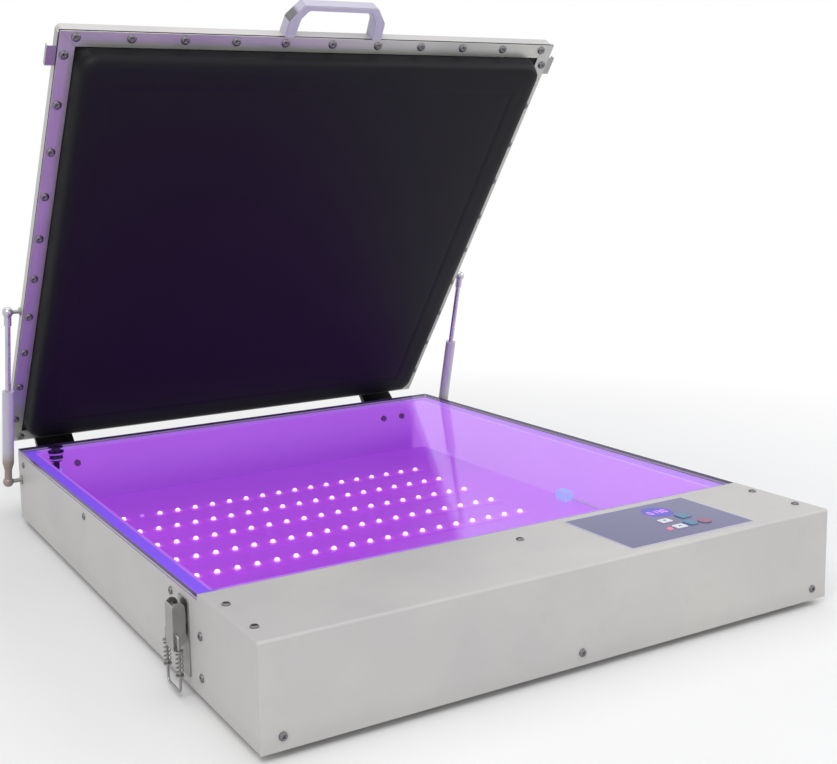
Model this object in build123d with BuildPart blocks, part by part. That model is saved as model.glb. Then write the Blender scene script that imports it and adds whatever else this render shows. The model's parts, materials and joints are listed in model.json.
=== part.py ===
"""Screen printing exposure unit with a hinged vacuum lid, modelled with the lid open.

X runs along the width, Y from the front to the back and Z up, in millimetres. The
origin lies on the floor under the middle of the base. Left and right are those of
someone who stands at the front and works the control panel.
"""

import os
from math import atan2, cos, degrees, hypot, radians, sin

from build123d import *

os.makedirs("parts", exist_ok=True)

# --- Driving dimensions: base -------------------------------------------------
base_width = 750.0
base_depth = 866.0
base_height = 109.0  # underside of the tub to the top of the glass
foot_height = 8.0
foot_radius = 15.0
foot_inset = 50.0
sheet = 1.5  # folded steel of the tub, cover, partition, rails and lid
bend_radius = 3.0  # outside radius of a fold
cover_depth = 141.0  # front face to the seam with the glass
front_lip = 24.0
bay_flange = 22.0
seat_width = 25.0
rail_drop = 24.0
glass_thickness = 6.0
gasket_thickness = 1.0
gasket_width = 21.0
fit = 0.3  # assembly clearance between separate sheets
running = 0.06  # radial clearance of a pin or shaft in its hole

# --- Driving dimensions: light source ------------------------------------------
tray_height = 12.0
tray_sheet = 1.0
led_columns = 19
led_rows = 7
led_pitch_x = 28.65
led_pitch_y = 71.2
led_first_row = 294.4  # from the front face
led_size = 4.0
led_height = 1.2
led_board_width = 27.0
led_board_margin = 22.0
led_board_thickness = 1.6

# --- Driving dimensions: control panel -----------------------------------------
panel_width = 187.0
panel_depth = 116.0
panel_x = 174.5
panel_from_front = 71.0
panel_thickness = 0.5
window_radius = 19.0
window_x = 198.5
window_from_front = 98.0
key_travel = 0.4
key_proud = 0.9
key_gap = 0.3
key_stem_radius = 2.5
pcb_thickness = 1.6
pcb_drop = 12.0  # board's top face below the cover's underside
switch_height = 8.0

# --- Driving dimensions: lid ----------------------------------------------------
open_angle = 54.6
hinge_setback = 25.0  # pivot behind the back wall
hinge_height = 53.3  # pivot above the underside of the tub
lid_gap = 3.7  # clamp strips above the glass with the lid closed
lid_width = 754.0
lid_length = 724.0
lid_depth = 20.5
lid_flange = 25.0
lid_corner = 5.0
rubber = 2.0
strip_width = 21.0
strip_thickness = 1.5
blanket_sag = 27.0
lid_screw_pitch = 71.3
lid_screw_inset = 8.3
lid_screw_first = 33.0
lid_screw_radius = 6.0
lid_screw_height = 2.6
screw_radius = 4.5
screw_height = 2.2

# --- Driving dimensions: hinges, gas springs, latches ---------------------------
hinge_x = 302.0
hinge_width = 60.0
ear_width = 7.0
knuckle_radius = 9.0
hinge_pin_radius = 4.0
hinge_plate = 3.0
hinge_bolt_spacing = 38.0
strut_x = 396.0
strut_base_from_front = 848.0
strut_base_height = 64.0  # above the underside of the tub
strut_on_lid = 263.0  # from the lid's rear edge
strut_lid_drop = 14.0  # behind the strip face
ball_radius = 5.0
stud_radius = 3.0
socket_radius = 8.0
tube_radius = 8.5
rod_radius = 4.0
tube_start = 32.0
tube_end = 150.0
tube_taper = 12.0
neck_radius = 5.5
latch_from_front = 178.0
latch_lever_width = 21.0
latch_lever_depth = 14.0
latch_lever_length = 50.0
latch_pivot_height = 86.0  # above the underside of the tub
latch_pivot_out = 10.0  # from the wall
bail_radius = 1.5
bail_half_width = 17.5
bail_drop = 59.5
bail_below_pivot = 26.0

# --- Derived levels and lines -----------------------------------------------------
front_y = -base_depth / 2
back_y = base_depth / 2
side_x = base_width / 2
inner_x = side_x - sheet
inner_back = back_y - sheet
seam_y = front_y + cover_depth
glass_top = foot_height + base_height
cover_under = glass_top - sheet
glass_under = glass_top - glass_thickness
seat_z = glass_under - gasket_thickness
floor_z = foot_height + sheet
chassis_front = front_y + sheet + fit / 2

# The lid turns about the hinge axis from closed, flat over the glass, to open.
hinge_y = back_y + hinge_setback
hinge_z = foot_height + hinge_height
hinge_rise = glass_top + lid_gap - hinge_z
open_cos = cos(radians(open_angle))
open_sin = sin(radians(open_angle))
lid_y = hinge_y - hinge_setback * open_cos + hinge_rise * open_sin
lid_z = hinge_z + hinge_setback * open_sin + hinge_rise * open_cos

# In the lid's plane, X is across, Y runs from the rear edge to the front edge and Z
# points out of the inner face, towards the glass. Z = 0 is the face of the strips.
lid_plane = Plane(origin=(0, lid_y, lid_z), x_dir=(1, 0, 0), z_dir=(0, -open_sin, -open_cos))
lid_normal = Axis((0, 0, 0), lid_plane.z_dir)
# A section across the lid: X as the row's, Y out of the lid's back.
lid_section = Plane(origin=lid_plane.origin, x_dir=(1, 0, 0), z_dir=lid_plane.y_dir)


def from_front(distance):
    """Y of a point that lies this far behind the front face."""
    return front_y + distance


def on_lid(y, z):
    """Y and Z in the row of a point given in the lid's plane."""
    return lid_y - y * open_cos - z * open_sin, lid_z + y * open_sin - z * open_cos


def save(piece, name):
    """Labels a finished piece and writes it as its own file."""
    piece.part.label = name
    export_step(piece.part, f"parts/{name}.step")


def side_plane(side, x, y=0.0, z=0.0):
    """A plane on the left (-1) or right (1) side that faces out, its Y running up."""
    return Plane(origin=(side * x, y, z), x_dir=(0, side, 0), z_dir=(side, 0, 0))


def ball_plane(x, y, z, direction=(0, 0, 1)):
    """A plane for a ball joint, along its strut, with the balls' seams off the stud."""
    across = (0, direction[2], -direction[1])
    return Plane(origin=(x, y, z), x_dir=across, z_dir=direction)


# --- Feet ---------------------------------------------------------------------------
with BuildPart() as rubber_feet:
    with Locations((0, 0, foot_height / 2)):
        Cone(foot_radius - 2, foot_radius, foot_height)
        with GridLocations(base_width - 2 * foot_inset, base_depth - 2 * foot_inset, 2, 2):
            Cone(foot_radius - 2, foot_radius, foot_height)
save(rubber_feet, "rubber_feet")

# --- Tub: floor, side walls, back wall, front lip and the bay's top flanges -----------
fan_size = 60.0
fan_depth = 25.0
fan_bore = 56.0
fan_from_front = 48.0
fan_height = 58.0
inlet_from_front = 108.0
inlet_height = 62.0
inlet_width = 27.0
inlet_tall = 47.0
vent_length = 48.0
vent_width = 5.0
vent_pitch = 14.0
vent_count = 8
vent_x = 235.0
vent_from_front = 70.0

with BuildPart() as chassis_tub:
    with BuildSketch(Plane.XY.offset(foot_height)):
        with Locations((0, (chassis_front + back_y) / 2)):
            Rectangle(base_width, back_y - chassis_front)
    extrude(amount=cover_under - foot_height)
    bottom_edges = chassis_tub.faces().sort_by(Axis.Z)[0].edges()
    rear_edges = chassis_tub.edges().filter_by(Axis.Z).group_by(Axis.Y)[-1]
    fillet(bottom_edges + rear_edges, radius=bend_radius)
    offset(amount=-sheet, openings=chassis_tub.faces().sort_by(Axis.Z)[-1])
    # Walls beside the glass stop under it, and the front wall is only a lip.
    with BuildSketch(Plane.XY.offset(seat_z)):
        with Locations((0, (seam_y + back_y) / 2 + 1)):
            Rectangle(base_width + 2, back_y - seam_y + 2)
    extrude(amount=cover_under - seat_z, mode=Mode.SUBTRACT)
    with BuildSketch(Plane.XY.offset(foot_height + front_lip)):
        with Locations((0, chassis_front)):
            Rectangle(2 * inner_x, 2 * (sheet + 1))
    extrude(amount=base_height, mode=Mode.SUBTRACT)
    with BuildSketch(Plane.XY.offset(cover_under - sheet)):
        for side in (-1, 1):
            with Locations((side * (inner_x - bay_flange / 2), (chassis_front + seam_y) / 2)):
                Rectangle(bay_flange, seam_y - chassis_front)
    extrude(amount=sheet)
    # Fan opening and power socket cut-out in the right wall, air slots in the floor.
    with BuildSketch(side_plane(1, side_x + 1)):
        with Locations((from_front(fan_from_front), fan_height)):
            Circle(fan_bore / 2)
        with Locations((from_front(inlet_from_front), inlet_height)):
            Rectangle(inlet_width + fit, inlet_tall + fit)
    extrude(amount=-(sheet + 2), mode=Mode.SUBTRACT)
    with BuildSketch(Plane.XY.offset(foot_height - 1)):
        with Locations((vent_x, from_front(vent_from_front))):
            with GridLocations(vent_pitch, 1, vent_count, 1):
                SlotOverall(vent_length, vent_width, rotation=90)
    extrude(amount=sheet + 2, mode=Mode.SUBTRACT)
save(chassis_tub, "chassis_tub")

# --- Partition between the electronics bay and the light chamber ----------------------
hose_radius = 4.0
hose_x = -357.0
hose_z = 70.0
cable_radius = 2.0
cable_x = 362.0
cable_z = foot_height + tray_height + cable_radius + 1.5
grommet_radius = 8.0
partition_flange = 46.0
partition_tab = 15.0
partition_rear = seam_y - fit / 2

with BuildPart() as partition:
    with BuildSketch(Plane.XZ.offset(-partition_rear)):
        with Locations((0, (floor_z + cover_under - sheet) / 2)):
            Rectangle(2 * (inner_x - fit), cover_under - sheet - floor_z)
        chamfer(vertices().group_by(Axis.Y)[0], 2.0)
        with Locations((hose_x, hose_z), (cable_x, cable_z)):
            Circle(grommet_radius - 2, mode=Mode.SUBTRACT)
    extrude(amount=sheet)
    with BuildSketch(Plane.XY.offset(cover_under - sheet)):
        with Locations((0, partition_rear - partition_flange / 2)):
            Rectangle(2 * (inner_x - bay_flange - 2 * fit), partition_flange)
        with Locations((panel_x, partition_rear - partition_flange)):
            Rectangle(panel_width + 6, 2 * (partition_flange - 14), mode=Mode.SUBTRACT)
    extrude(amount=sheet)
    with BuildSketch(Plane.XY.offset(floor_z)):
        with Locations((0, partition_rear - partition_tab / 2)):
            Rectangle(2 * (inner_x - bend_radius), partition_tab)
    extrude(amount=sheet)
    with BuildSketch(Plane.XY.offset(floor_z + bend_radius)):
        for side in (-1, 1):
            with Locations((side * (inner_x - fit - sheet / 2), partition_rear - partition_tab / 2)):
                Rectangle(sheet, partition_tab)
    extrude(amount=cover_under - 2 * sheet - floor_z - bend_radius)
save(partition, "partition")

# --- Front cover: one sheet folded over the top and the front -------------------------
# Each key: name, x, distance from the front, width, depth.
keys = (
    ("key_time_down", 181.0, 67.5, 16.0, 12.0),
    ("key_time_up", 181.0, 44.0, 16.0, 12.0),
    ("key_light", 212.0, 70.5, 15.0, 15.0),
    ("key_vacuum", 201.0, 47.0, 12.0, 15.0),
    ("key_start", 220.0, 44.0, 16.0, 16.0),
)
with BuildPart() as front_cover:
    with BuildSketch(Plane.YZ):
        with BuildLine():
            Polyline(
                (front_y, foot_height + 1),
                (front_y, glass_top),
                (seam_y - fit, glass_top),
                (seam_y - fit, cover_under),
                (front_y + sheet, cover_under),
                (front_y + sheet, foot_height + 1),
                close=True,
            )
        make_face()
    extrude(amount=side_x, both=True)
    fold = front_cover.edges().filter_by(Axis.X)
    fillet(fold.filter_by_position(Axis.Y, front_y - 0.1, front_y + 0.1).sort_by(Axis.Z)[-1], bend_radius)
    with BuildSketch(Plane.XY.offset(glass_top)):
        with Locations((window_x, from_front(window_from_front))):
            Circle(window_radius - 3)
        for name, x, y, width, depth in keys:
            with Locations((x, from_front(y))):
                Circle(key_stem_radius + key_gap)
    extrude(amount=-2 * sheet, mode=Mode.SUBTRACT)
save(front_cover, "front_cover")

# --- Glass rails, gasket and glass ------------------------------------------------------
port_x = -322.0
port_y = back_y - 24.0
port_hole = 7.0
port_flange = 12.0
rail_notch = port_flange + 2.5
rail_inner_x = inner_x - seat_width
front_rail_width = 20.0
rail_length = inner_back - bend_radius - seam_y - fit
rail_mid = seam_y + fit + rail_length / 2

with BuildPart() as glass_rails_side:
    for side in (-1, 1):
        with BuildSketch(Plane.XY.offset(seat_z - rail_drop)):
            with Locations((side * (inner_x - sheet / 2), rail_mid)):
                Rectangle(sheet, rail_length)
        extrude(amount=rail_drop)
        with BuildSketch(Plane.XY.offset(seat_z - sheet)):
            with Locations((side * (inner_x - seat_width / 2), rail_mid)):
                Rectangle(seat_width, rail_length)
        extrude(amount=sheet)
save(glass_rails_side, "glass_rails_side")

with BuildPart() as glass_rail_front:
    with BuildSketch(Plane.YZ):
        with BuildLine():
            Polyline(
                (partition_rear, seat_z - rail_drop),
                (partition_rear, seat_z),
                (partition_rear + front_rail_width, seat_z),
                (partition_rear + front_rail_width, seat_z - sheet),
                (partition_rear + sheet, seat_z - sheet),
                (partition_rear + sheet, seat_z - rail_drop),
                close=True,
            )
        make_face()
    extrude(amount=rail_inner_x - fit, both=True)
save(glass_rail_front, "glass_rail_front")

with BuildPart() as glass_rail_rear:
    with BuildSketch(Plane.YZ):
        with BuildLine():
            Polyline(
                (inner_back, seat_z - rail_drop / 2),
                (inner_back, seat_z),
                (inner_back - front_rail_width, seat_z),
                (inner_back - front_rail_width, seat_z - sheet),
                (inner_back - sheet, seat_z - sheet),
                (inner_back - sheet, seat_z - rail_drop / 2),
                close=True,
            )
        make_face()
    extrude(amount=rail_inner_x - fit, both=True)
    with BuildSketch(Plane.XY.offset(seat_z)):
        with Locations((port_x, port_y)):
            Circle(rail_notch)
    extrude(amount=-2 * sheet, mode=Mode.SUBTRACT)
save(glass_rail_rear, "glass_rail_rear")

glass_front = seam_y + fit
glass_back = back_y - 0.5
glass_half = side_x - 0.5
with BuildPart() as glass_gasket:
    with BuildSketch(Plane.XY.offset(seat_z)):
        with Locations((0, (glass_front + glass_back) / 2)):
            Rectangle(2 * glass_half - 1, glass_back - glass_front - 1)
            Rectangle(
                2 * (glass_half - gasket_width),
                glass_back - glass_front - 2 * gasket_width + 4,
                mode=Mode.SUBTRACT,
            )
        with Locations((port_x, port_y)):
            Circle(rail_notch, mode=Mode.SUBTRACT)
    extrude(amount=gasket_thickness)
save(glass_gasket, "glass_gasket")

with BuildPart() as glass:
    with BuildSketch(Plane.XY.offset(glass_under)):
        with Locations((0, (glass_front + glass_back) / 2)):
            RectangleRounded(2 * glass_half, glass_back - glass_front, 2.0)
        with Locations((port_x, port_y)):
            Circle(port_hole, mode=Mode.SUBTRACT)
    extrude(amount=glass_thickness)
    chamfer(glass.faces().sort_by(Axis.Z)[-1].outer_wire().edges(), 0.6)
save(glass, "glass")

# --- Light source: reflector tray, seven boards and their emitters ------------------------
tray_top = foot_height + tray_height
tray_half = inner_x - 8.0
tray_front = partition_rear + 5.0
tray_back = inner_back - 5.0
with BuildPart() as reflector_tray:
    with BuildSketch(Plane.XZ.offset(-tray_back)):
        with BuildLine():
            Polyline(
                (-tray_half, floor_z),
                (-tray_half, tray_top),
                (tray_half, tray_top),
                (tray_half, floor_z),
                (tray_half - tray_sheet, floor_z),
                (tray_half - tray_sheet, tray_top - tray_sheet),
                (-tray_half + tray_sheet, tray_top - tray_sheet),
                (-tray_half + tray_sheet, floor_z),
                close=True,
            )
        make_face()
    extrude(amount=tray_back - tray_front)
save(reflector_tray, "reflector_tray")

led_mid_row = from_front(led_first_row + led_pitch_y * (led_rows - 1) / 2)
with BuildPart() as led_boards:
    with BuildSketch(Plane.XY.offset(tray_top)):
        with Locations((0, led_mid_row)):
            with GridLocations(1, led_pitch_y, 1, led_rows):
                Rectangle((led_columns - 1) * led_pitch_x + led_board_margin, led_board_width)
    extrude(amount=led_board_thickness)
save(led_boards, "led_boards")

with BuildPart() as led_emitters:
    with BuildSketch(Plane.XY.offset(tray_top + led_board_thickness)):
        with Locations((0, led_mid_row)):
            with GridLocations(led_pitch_x, led_pitch_y, led_columns, led_rows):
                Rectangle(led_size, led_size)
    extrude(amount=led_height)
save(led_emitters, "led_emitters")

# --- Control panel: overlay, window, keys and the board under them -------------------------
with BuildPart() as keypad_overlay:
    with BuildSketch(Plane.XY.offset(glass_top)):
        with Locations((panel_x, from_front(panel_from_front))):
            RectangleRounded(panel_width, panel_depth, 3.0)
        with Locations((window_x, from_front(window_from_front))):
            Circle(window_radius, mode=Mode.SUBTRACT)
        for name, x, y, width, depth in keys:
            with Locations((x, from_front(y))):
                if name == "key_start":
                    Circle(width / 2 + key_gap, mode=Mode.SUBTRACT)
                else:
                    Rectangle(width + 2 * key_gap, depth + 2 * key_gap, mode=Mode.SUBTRACT)
    extrude(amount=panel_thickness)
save(keypad_overlay, "keypad_overlay")

with BuildPart() as display_window:
    with BuildSketch(Plane.XY.offset(glass_top)):
        with Locations((window_x, from_front(window_from_front))):
            Circle(window_radius - fit / 2)
    extrude(amount=panel_thickness)
save(display_window, "display_window")

pcb_top = cover_under - pcb_drop
switch_top = pcb_top + switch_height
key_under = glass_top + key_travel + 0.05
key_top = glass_top + panel_thickness + key_proud
for name, x, y, width, depth in keys:
    with BuildPart() as key:
        with BuildSketch(Plane.XY.offset(key_under)):
            with Locations((x, from_front(y))):
                if name == "key_start":
                    Circle(width / 2)
                else:
                    RectangleRounded(width, depth, 2.0)
        extrude(amount=key_top - key_under)
        fillet(key.faces().sort_by(Axis.Z)[-1].edges(), 0.4)
        with BuildSketch(Plane.XY.offset(switch_top + key_travel + 0.1)):
            with Locations((x, from_front(y))):
                Circle(key_stem_radius)
        extrude(amount=key_under - switch_top - key_travel - 0.1)
    save(key, name)

with BuildPart() as control_board:
    with BuildSketch(Plane.XY.offset(pcb_top - pcb_thickness)):
        with Locations((panel_x, from_front(panel_from_front - 4))):
            Rectangle(panel_width - 12, panel_depth - 16)
    extrude(amount=pcb_thickness)
    with BuildSketch(Plane.XY.offset(pcb_top)):
        with Locations((window_x, from_front(window_from_front))):
            Rectangle(38, 19)
    extrude(amount=pcb_drop - fit)
    with BuildSketch(Plane.XY.offset(pcb_top)):
        for name, x, y, width, depth in keys:
            with Locations((x, from_front(y))):
                Rectangle(6, 6)
    extrude(amount=switch_height)
    with BuildSketch(Plane.XY.offset(pcb_top)):
        with Locations((panel_x, from_front(panel_from_front - 4))):
            with GridLocations(panel_width - 24, panel_depth - 28, 2, 2):
                Circle(3)
    extrude(amount=pcb_drop)
    with BuildSketch(Plane.XY.offset(pcb_top - pcb_thickness)):
        with Locations((panel_x - 55, from_front(panel_from_front - 8))):
            Rectangle(30, 22)
        with Locations((panel_x - 20, from_front(panel_from_front + 12))):
            Rectangle(14, 14)
    extrude(amount=-14)
save(control_board, "control_board")

# --- Electronics bay: LED driver and vacuum pump ---------------------------------------------
driver_length = 220.0
driver_width = 62.0
driver_height = 38.0
driver_x = -215.0
driver_from_front = 66.0
with BuildPart() as led_driver:
    with BuildSketch(Plane.XY.offset(floor_z)):
        with Locations((driver_x, from_front(driver_from_front))):
            Rectangle(driver_length + 24, driver_width)
            with GridLocations(driver_length + 14, driver_width - 24, 2, 2):
                Circle(2.25, mode=Mode.SUBTRACT)
    extrude(amount=2)
    with BuildSketch(Plane.XY.offset(floor_z)):
        with Locations((driver_x, from_front(driver_from_front))):
            Rectangle(driver_length, driver_width)
    extrude(amount=driver_height)
    with BuildSketch(Plane.XY.offset(floor_z + driver_height)):
        with Locations((driver_x, from_front(driver_from_front))):
            with GridLocations(16, 1, 13, 1):
                SlotOverall(driver_width - 20, 5, rotation=90)
    extrude(amount=-2.5, mode=Mode.SUBTRACT)
save(led_driver, "led_driver")

pump_x = 10.0
pump_from_front = 66.0
pump_motor_radius = 23.0
pump_motor_length = 70.0
pump_head_width = 48.0
pump_head_depth = 52.0
pump_head_height = 62.0
pump_base = 4.0
nipple_length = 12.0
pump_left = pump_x - pump_motor_length / 2 - pump_head_width
with BuildPart() as vacuum_pump:
    with BuildSketch(Plane.XY.offset(floor_z)):
        with Locations((pump_x - pump_head_width / 2, from_front(pump_from_front))):
            RectangleRounded(pump_motor_length + pump_head_width, pump_head_depth + 14, 5.0)
    extrude(amount=pump_base)
    with BuildSketch(Plane.XY.offset(floor_z + pump_base)):
        with Locations((pump_left + pump_head_width / 2, from_front(pump_from_front))):
            RectangleRounded(pump_head_width, pump_head_depth, 6.0)
    extrude(amount=pump_head_height - pump_base)
    with BuildSketch(Plane.YZ.offset(pump_x - pump_motor_length / 2)):
        with Locations((from_front(pump_from_front), floor_z + pump_base + pump_motor_radius + 2)):
            Circle(pump_motor_radius)
    extrude(amount=pump_motor_length)
    with BuildSketch(Plane.XY.offset(floor_z + pump_base)):
        with Locations((pump_x, from_front(pump_from_front))):
            Rectangle(pump_motor_length - 16, 24)
    extrude(amount=8)
    with BuildSketch(Plane.YZ.offset(pump_left - nipple_length)):
        with Locations((from_front(pump_from_front), hose_z - 6)):
            Circle(hose_radius - 0.5)
    extrude(amount=nipple_length + 2)
    with BuildSketch(Plane.YZ.offset(pump_left - 2)):
        with Locations((from_front(pump_from_front), hose_z - 6)):
            RegularPolygon(6, 6)
    extrude(amount=4)
save(vacuum_pump, "vacuum_pump")

# --- Vacuum line: hose, clips, grommet, elbow and the port through the glass --------------------
elbow_length = 18.0
hose_start = (pump_left - nipple_length, from_front(pump_from_front), hose_z - 6)
hose_points = (
    hose_start,
    (pump_left - nipple_length - 34, from_front(pump_from_front), hose_z - 6),
    (pump_left - nipple_length - 64, from_front(pump_from_front), hose_z),
    (hose_x, from_front(pump_from_front), hose_z),
    (hose_x, port_y, hose_z),
    (port_x - elbow_length, port_y, hose_z),
)
with BuildPart() as vacuum_hose:
    with BuildLine() as hose_route:
        FilletPolyline(*hose_points, radius=[40.0, 40.0, 30.0, 15.0])
    with BuildSketch(Plane(origin=hose_start, z_dir=(-1, 0, 0))):
        Circle(hose_radius)
    sweep(path=hose_route.line)
save(vacuum_hose, "vacuum_hose")

clip_size = 12.0
with BuildPart() as hose_clips:
    for clip_from_front in (290.0, 500.0, 710.0):
        with BuildSketch(Plane.XZ.offset(-from_front(clip_from_front))):
            with Locations(((hose_x + clip_size / 2 - inner_x) / 2, hose_z)):
                Rectangle(inner_x + hose_x + clip_size / 2, clip_size)
            with Locations((hose_x, hose_z)):
                Circle(hose_radius + 0.1, mode=Mode.SUBTRACT)
            with Locations((hose_x + clip_size / 2, hose_z + 1)):
                Rectangle(clip_size, 1.2, mode=Mode.SUBTRACT)
        extrude(amount=8)
save(hose_clips, "hose_clips")

with BuildPart() as line_grommets:
    for x, z, radius in ((hose_x, hose_z, hose_radius), (cable_x, cable_z, cable_radius)):
        with BuildSketch(Plane.XZ.offset(-partition_rear - 2)):
            with Locations((x, z)):
                Circle(grommet_radius - 2 - 0.05)
                Circle(radius + 0.1, mode=Mode.SUBTRACT)
        extrude(amount=sheet + 4)
        with BuildSketch(Plane.XZ.offset(-partition_rear - 2)):
            with Locations((x, z)):
                Circle(grommet_radius)
                Circle(radius + 0.1, mode=Mode.SUBTRACT)
        extrude(amount=2)
        with BuildSketch(Plane.XZ.offset(-partition_rear + sheet)):
            with Locations((x, z)):
                Circle(grommet_radius)
                Circle(radius + 0.1, mode=Mode.SUBTRACT)
        extrude(amount=2)
save(line_grommets, "line_grommets")

stem_radius = 4.5
elbow_radius = 7.5
elbow_top = hose_z + 12.0
with BuildPart() as vacuum_port:
    with BuildSketch(Plane.XZ.offset(-port_y)):
        with BuildLine():
            Polyline(
                (port_x + 2.5, glass_top + 1.5),
                (port_x + port_flange - 2, glass_top + 1.5),
                (port_x + port_flange, glass_top),
                (port_x + port_hole - running, glass_top),
                (port_x + port_hole - running, glass_under),
                (port_x + port_flange, glass_under),
                (port_x + port_flange, glass_under - 5),
                (port_x + port_flange - 2.5, glass_under - 7),
                (port_x + port_flange - 1, glass_under - 12),
                (port_x + port_flange - 4, glass_under - 16),
                (port_x + stem_radius, glass_under - 16),
                (port_x + stem_radius, elbow_top - 8),
                (port_x + 2.5, elbow_top - 8),
                close=True,
            )
        make_face()
    revolve(axis=Axis((port_x, port_y, 0), (0, 0, 1)))
save(vacuum_port, "vacuum_port")

with BuildPart() as hose_elbow:
    with BuildSketch(Plane.XY.offset(hose_z - elbow_radius)):
        with Locations((port_x, port_y)):
            Circle(elbow_radius)
    extrude(amount=elbow_top - hose_z + elbow_radius)
    with BuildSketch(Plane.YZ.offset(port_x - elbow_length)):
        with Locations((port_y, hose_z)):
            Circle(hose_radius + 1.2)
    extrude(amount=elbow_length)
    with BuildSketch(Plane.XY.offset(elbow_top)):
        with Locations((port_x, port_y)):
            Circle(stem_radius + running)
    extrude(amount=-8 - running, mode=Mode.SUBTRACT)
save(hose_elbow, "hose_elbow")

# --- LED supply: connector beside the right wall and its cable -----------------------------------
connector_from_front = 455.0
connector_width = 16.0
connector_length = 24.0
connector_height = 14.0
connector_front = from_front(connector_from_front) - connector_length / 2
with BuildPart() as led_connector:
    with BuildSketch(Plane.XY.offset(tray_top)):
        with Locations((cable_x - 5, from_front(connector_from_front))):
            RectangleRounded(connector_width, connector_length, 1.5)
    extrude(amount=connector_height)
    with BuildSketch(Plane.XY.offset(tray_top + connector_height)):
        with Locations((cable_x - 5, from_front(connector_from_front) - 3)):
            Rectangle(7, 10)
    extrude(amount=2.5)
save(led_connector, "led_connector")

cable_run = 113.0  # from the front, across the bay
cable_points = (
    (cable_x, connector_front, cable_z),
    (cable_x, from_front(cable_run), cable_z),
    (driver_x + 85, from_front(cable_run), cable_z),
    (driver_x + 85, from_front(driver_from_front) + driver_width / 2, cable_z),
)
with BuildPart() as led_cable:
    with BuildLine() as cable_route:
        FilletPolyline(*cable_points, radius=[20.0, 14.0])
    with BuildSketch(Plane(origin=cable_points[0], z_dir=(0, -1, 0))):
        Circle(cable_radius)
    sweep(path=cable_route.line)
save(led_cable, "led_cable")

# --- Cooling fan in the right wall: frame, impeller and finger guard --------------------------------
fan_y = from_front(fan_from_front)
fan_hub = 11.5
fan_outer_x = inner_x
fan_inner_x = inner_x - fan_depth
with BuildPart() as fan_frame:
    with BuildSketch(Plane.YZ.offset(fan_inner_x)):
        with Locations((fan_y, fan_height)):
            RectangleRounded(fan_size, fan_size, 4.0)
            Circle(fan_bore / 2, mode=Mode.SUBTRACT)
            with GridLocations(50, 50, 2, 2):
                Circle(2.2, mode=Mode.SUBTRACT)
    extrude(amount=fan_depth)
    with BuildSketch(Plane.YZ.offset(fan_inner_x)):
        with Locations((fan_y, fan_height)):
            Circle(fan_hub + 1.5)
            with PolarLocations(fan_bore / 4 + 5, 4, start_angle=45):
                Rectangle(fan_bore / 2 - 6, 3)
    extrude(amount=3)
    with BuildSketch(Plane.YZ.offset(fan_inner_x + 3)):
        with Locations((fan_y, fan_height)):
            Circle(3.5)
    extrude(amount=4)
    with BuildSketch(Plane.YZ.offset(fan_inner_x + 1)):
        with Locations((fan_y, fan_height)):
            Circle(1.5 + running)
    extrude(amount=10, mode=Mode.SUBTRACT)
save(fan_frame, "fan_frame")

blade_count = 7
blade_root_chord = 12.0
blade_tip_chord = 15.0
blade_thickness = 1.2
impeller_x = fan_inner_x + 8.0
impeller_depth = 14.0
impeller_tip = fan_bore / 2 - 1.2
with BuildPart() as fan_impeller:
    with BuildSketch(Plane.YZ.offset(impeller_x)):
        with Locations((fan_y, fan_height)):
            Circle(fan_hub)
    extrude(amount=impeller_depth)
    fillet(fan_impeller.faces().sort_by(Axis.X)[-1].edges(), 1.5)
    with BuildSketch(Plane.YZ.offset(impeller_x)):
        with Locations((fan_y, fan_height)):
            Circle(1.5)
    extrude(amount=-6)
    for blade in range(blade_count):
        turn = 360.0 * blade / blade_count
        out = (0, cos(radians(turn)), sin(radians(turn)))
        tangent = (0, -sin(radians(turn)), cos(radians(turn)))
        for radius, chord, pitch in (
            (fan_hub - 1, blade_root_chord, 48.0),
            (impeller_tip, blade_tip_chord, 28.0),
        ):
            centre = (
                impeller_x + impeller_depth / 2,
                fan_y + radius * out[1],
                fan_height + radius * out[2],
            )
            with BuildSketch(Plane(origin=centre, x_dir=tangent, z_dir=out)):
                Rectangle(chord, blade_thickness, rotation=pitch)
        loft()
save(fan_impeller, "fan_impeller")

with BuildPart() as fan_guard:
    with BuildSketch(side_plane(1, side_x)):
        with Locations((fan_y, fan_height)):
            for ring in (10.0, 18.0, 26.0):
                Circle(ring + 1)
                Circle(ring - 1, mode=Mode.SUBTRACT)
            with PolarLocations(0, 4, start_angle=45):
                Rectangle(2, 76)
            with GridLocations(50, 50, 2, 2):
                Circle(4.5)
    extrude(amount=1.6)
save(fan_guard, "fan_guard")

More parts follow.
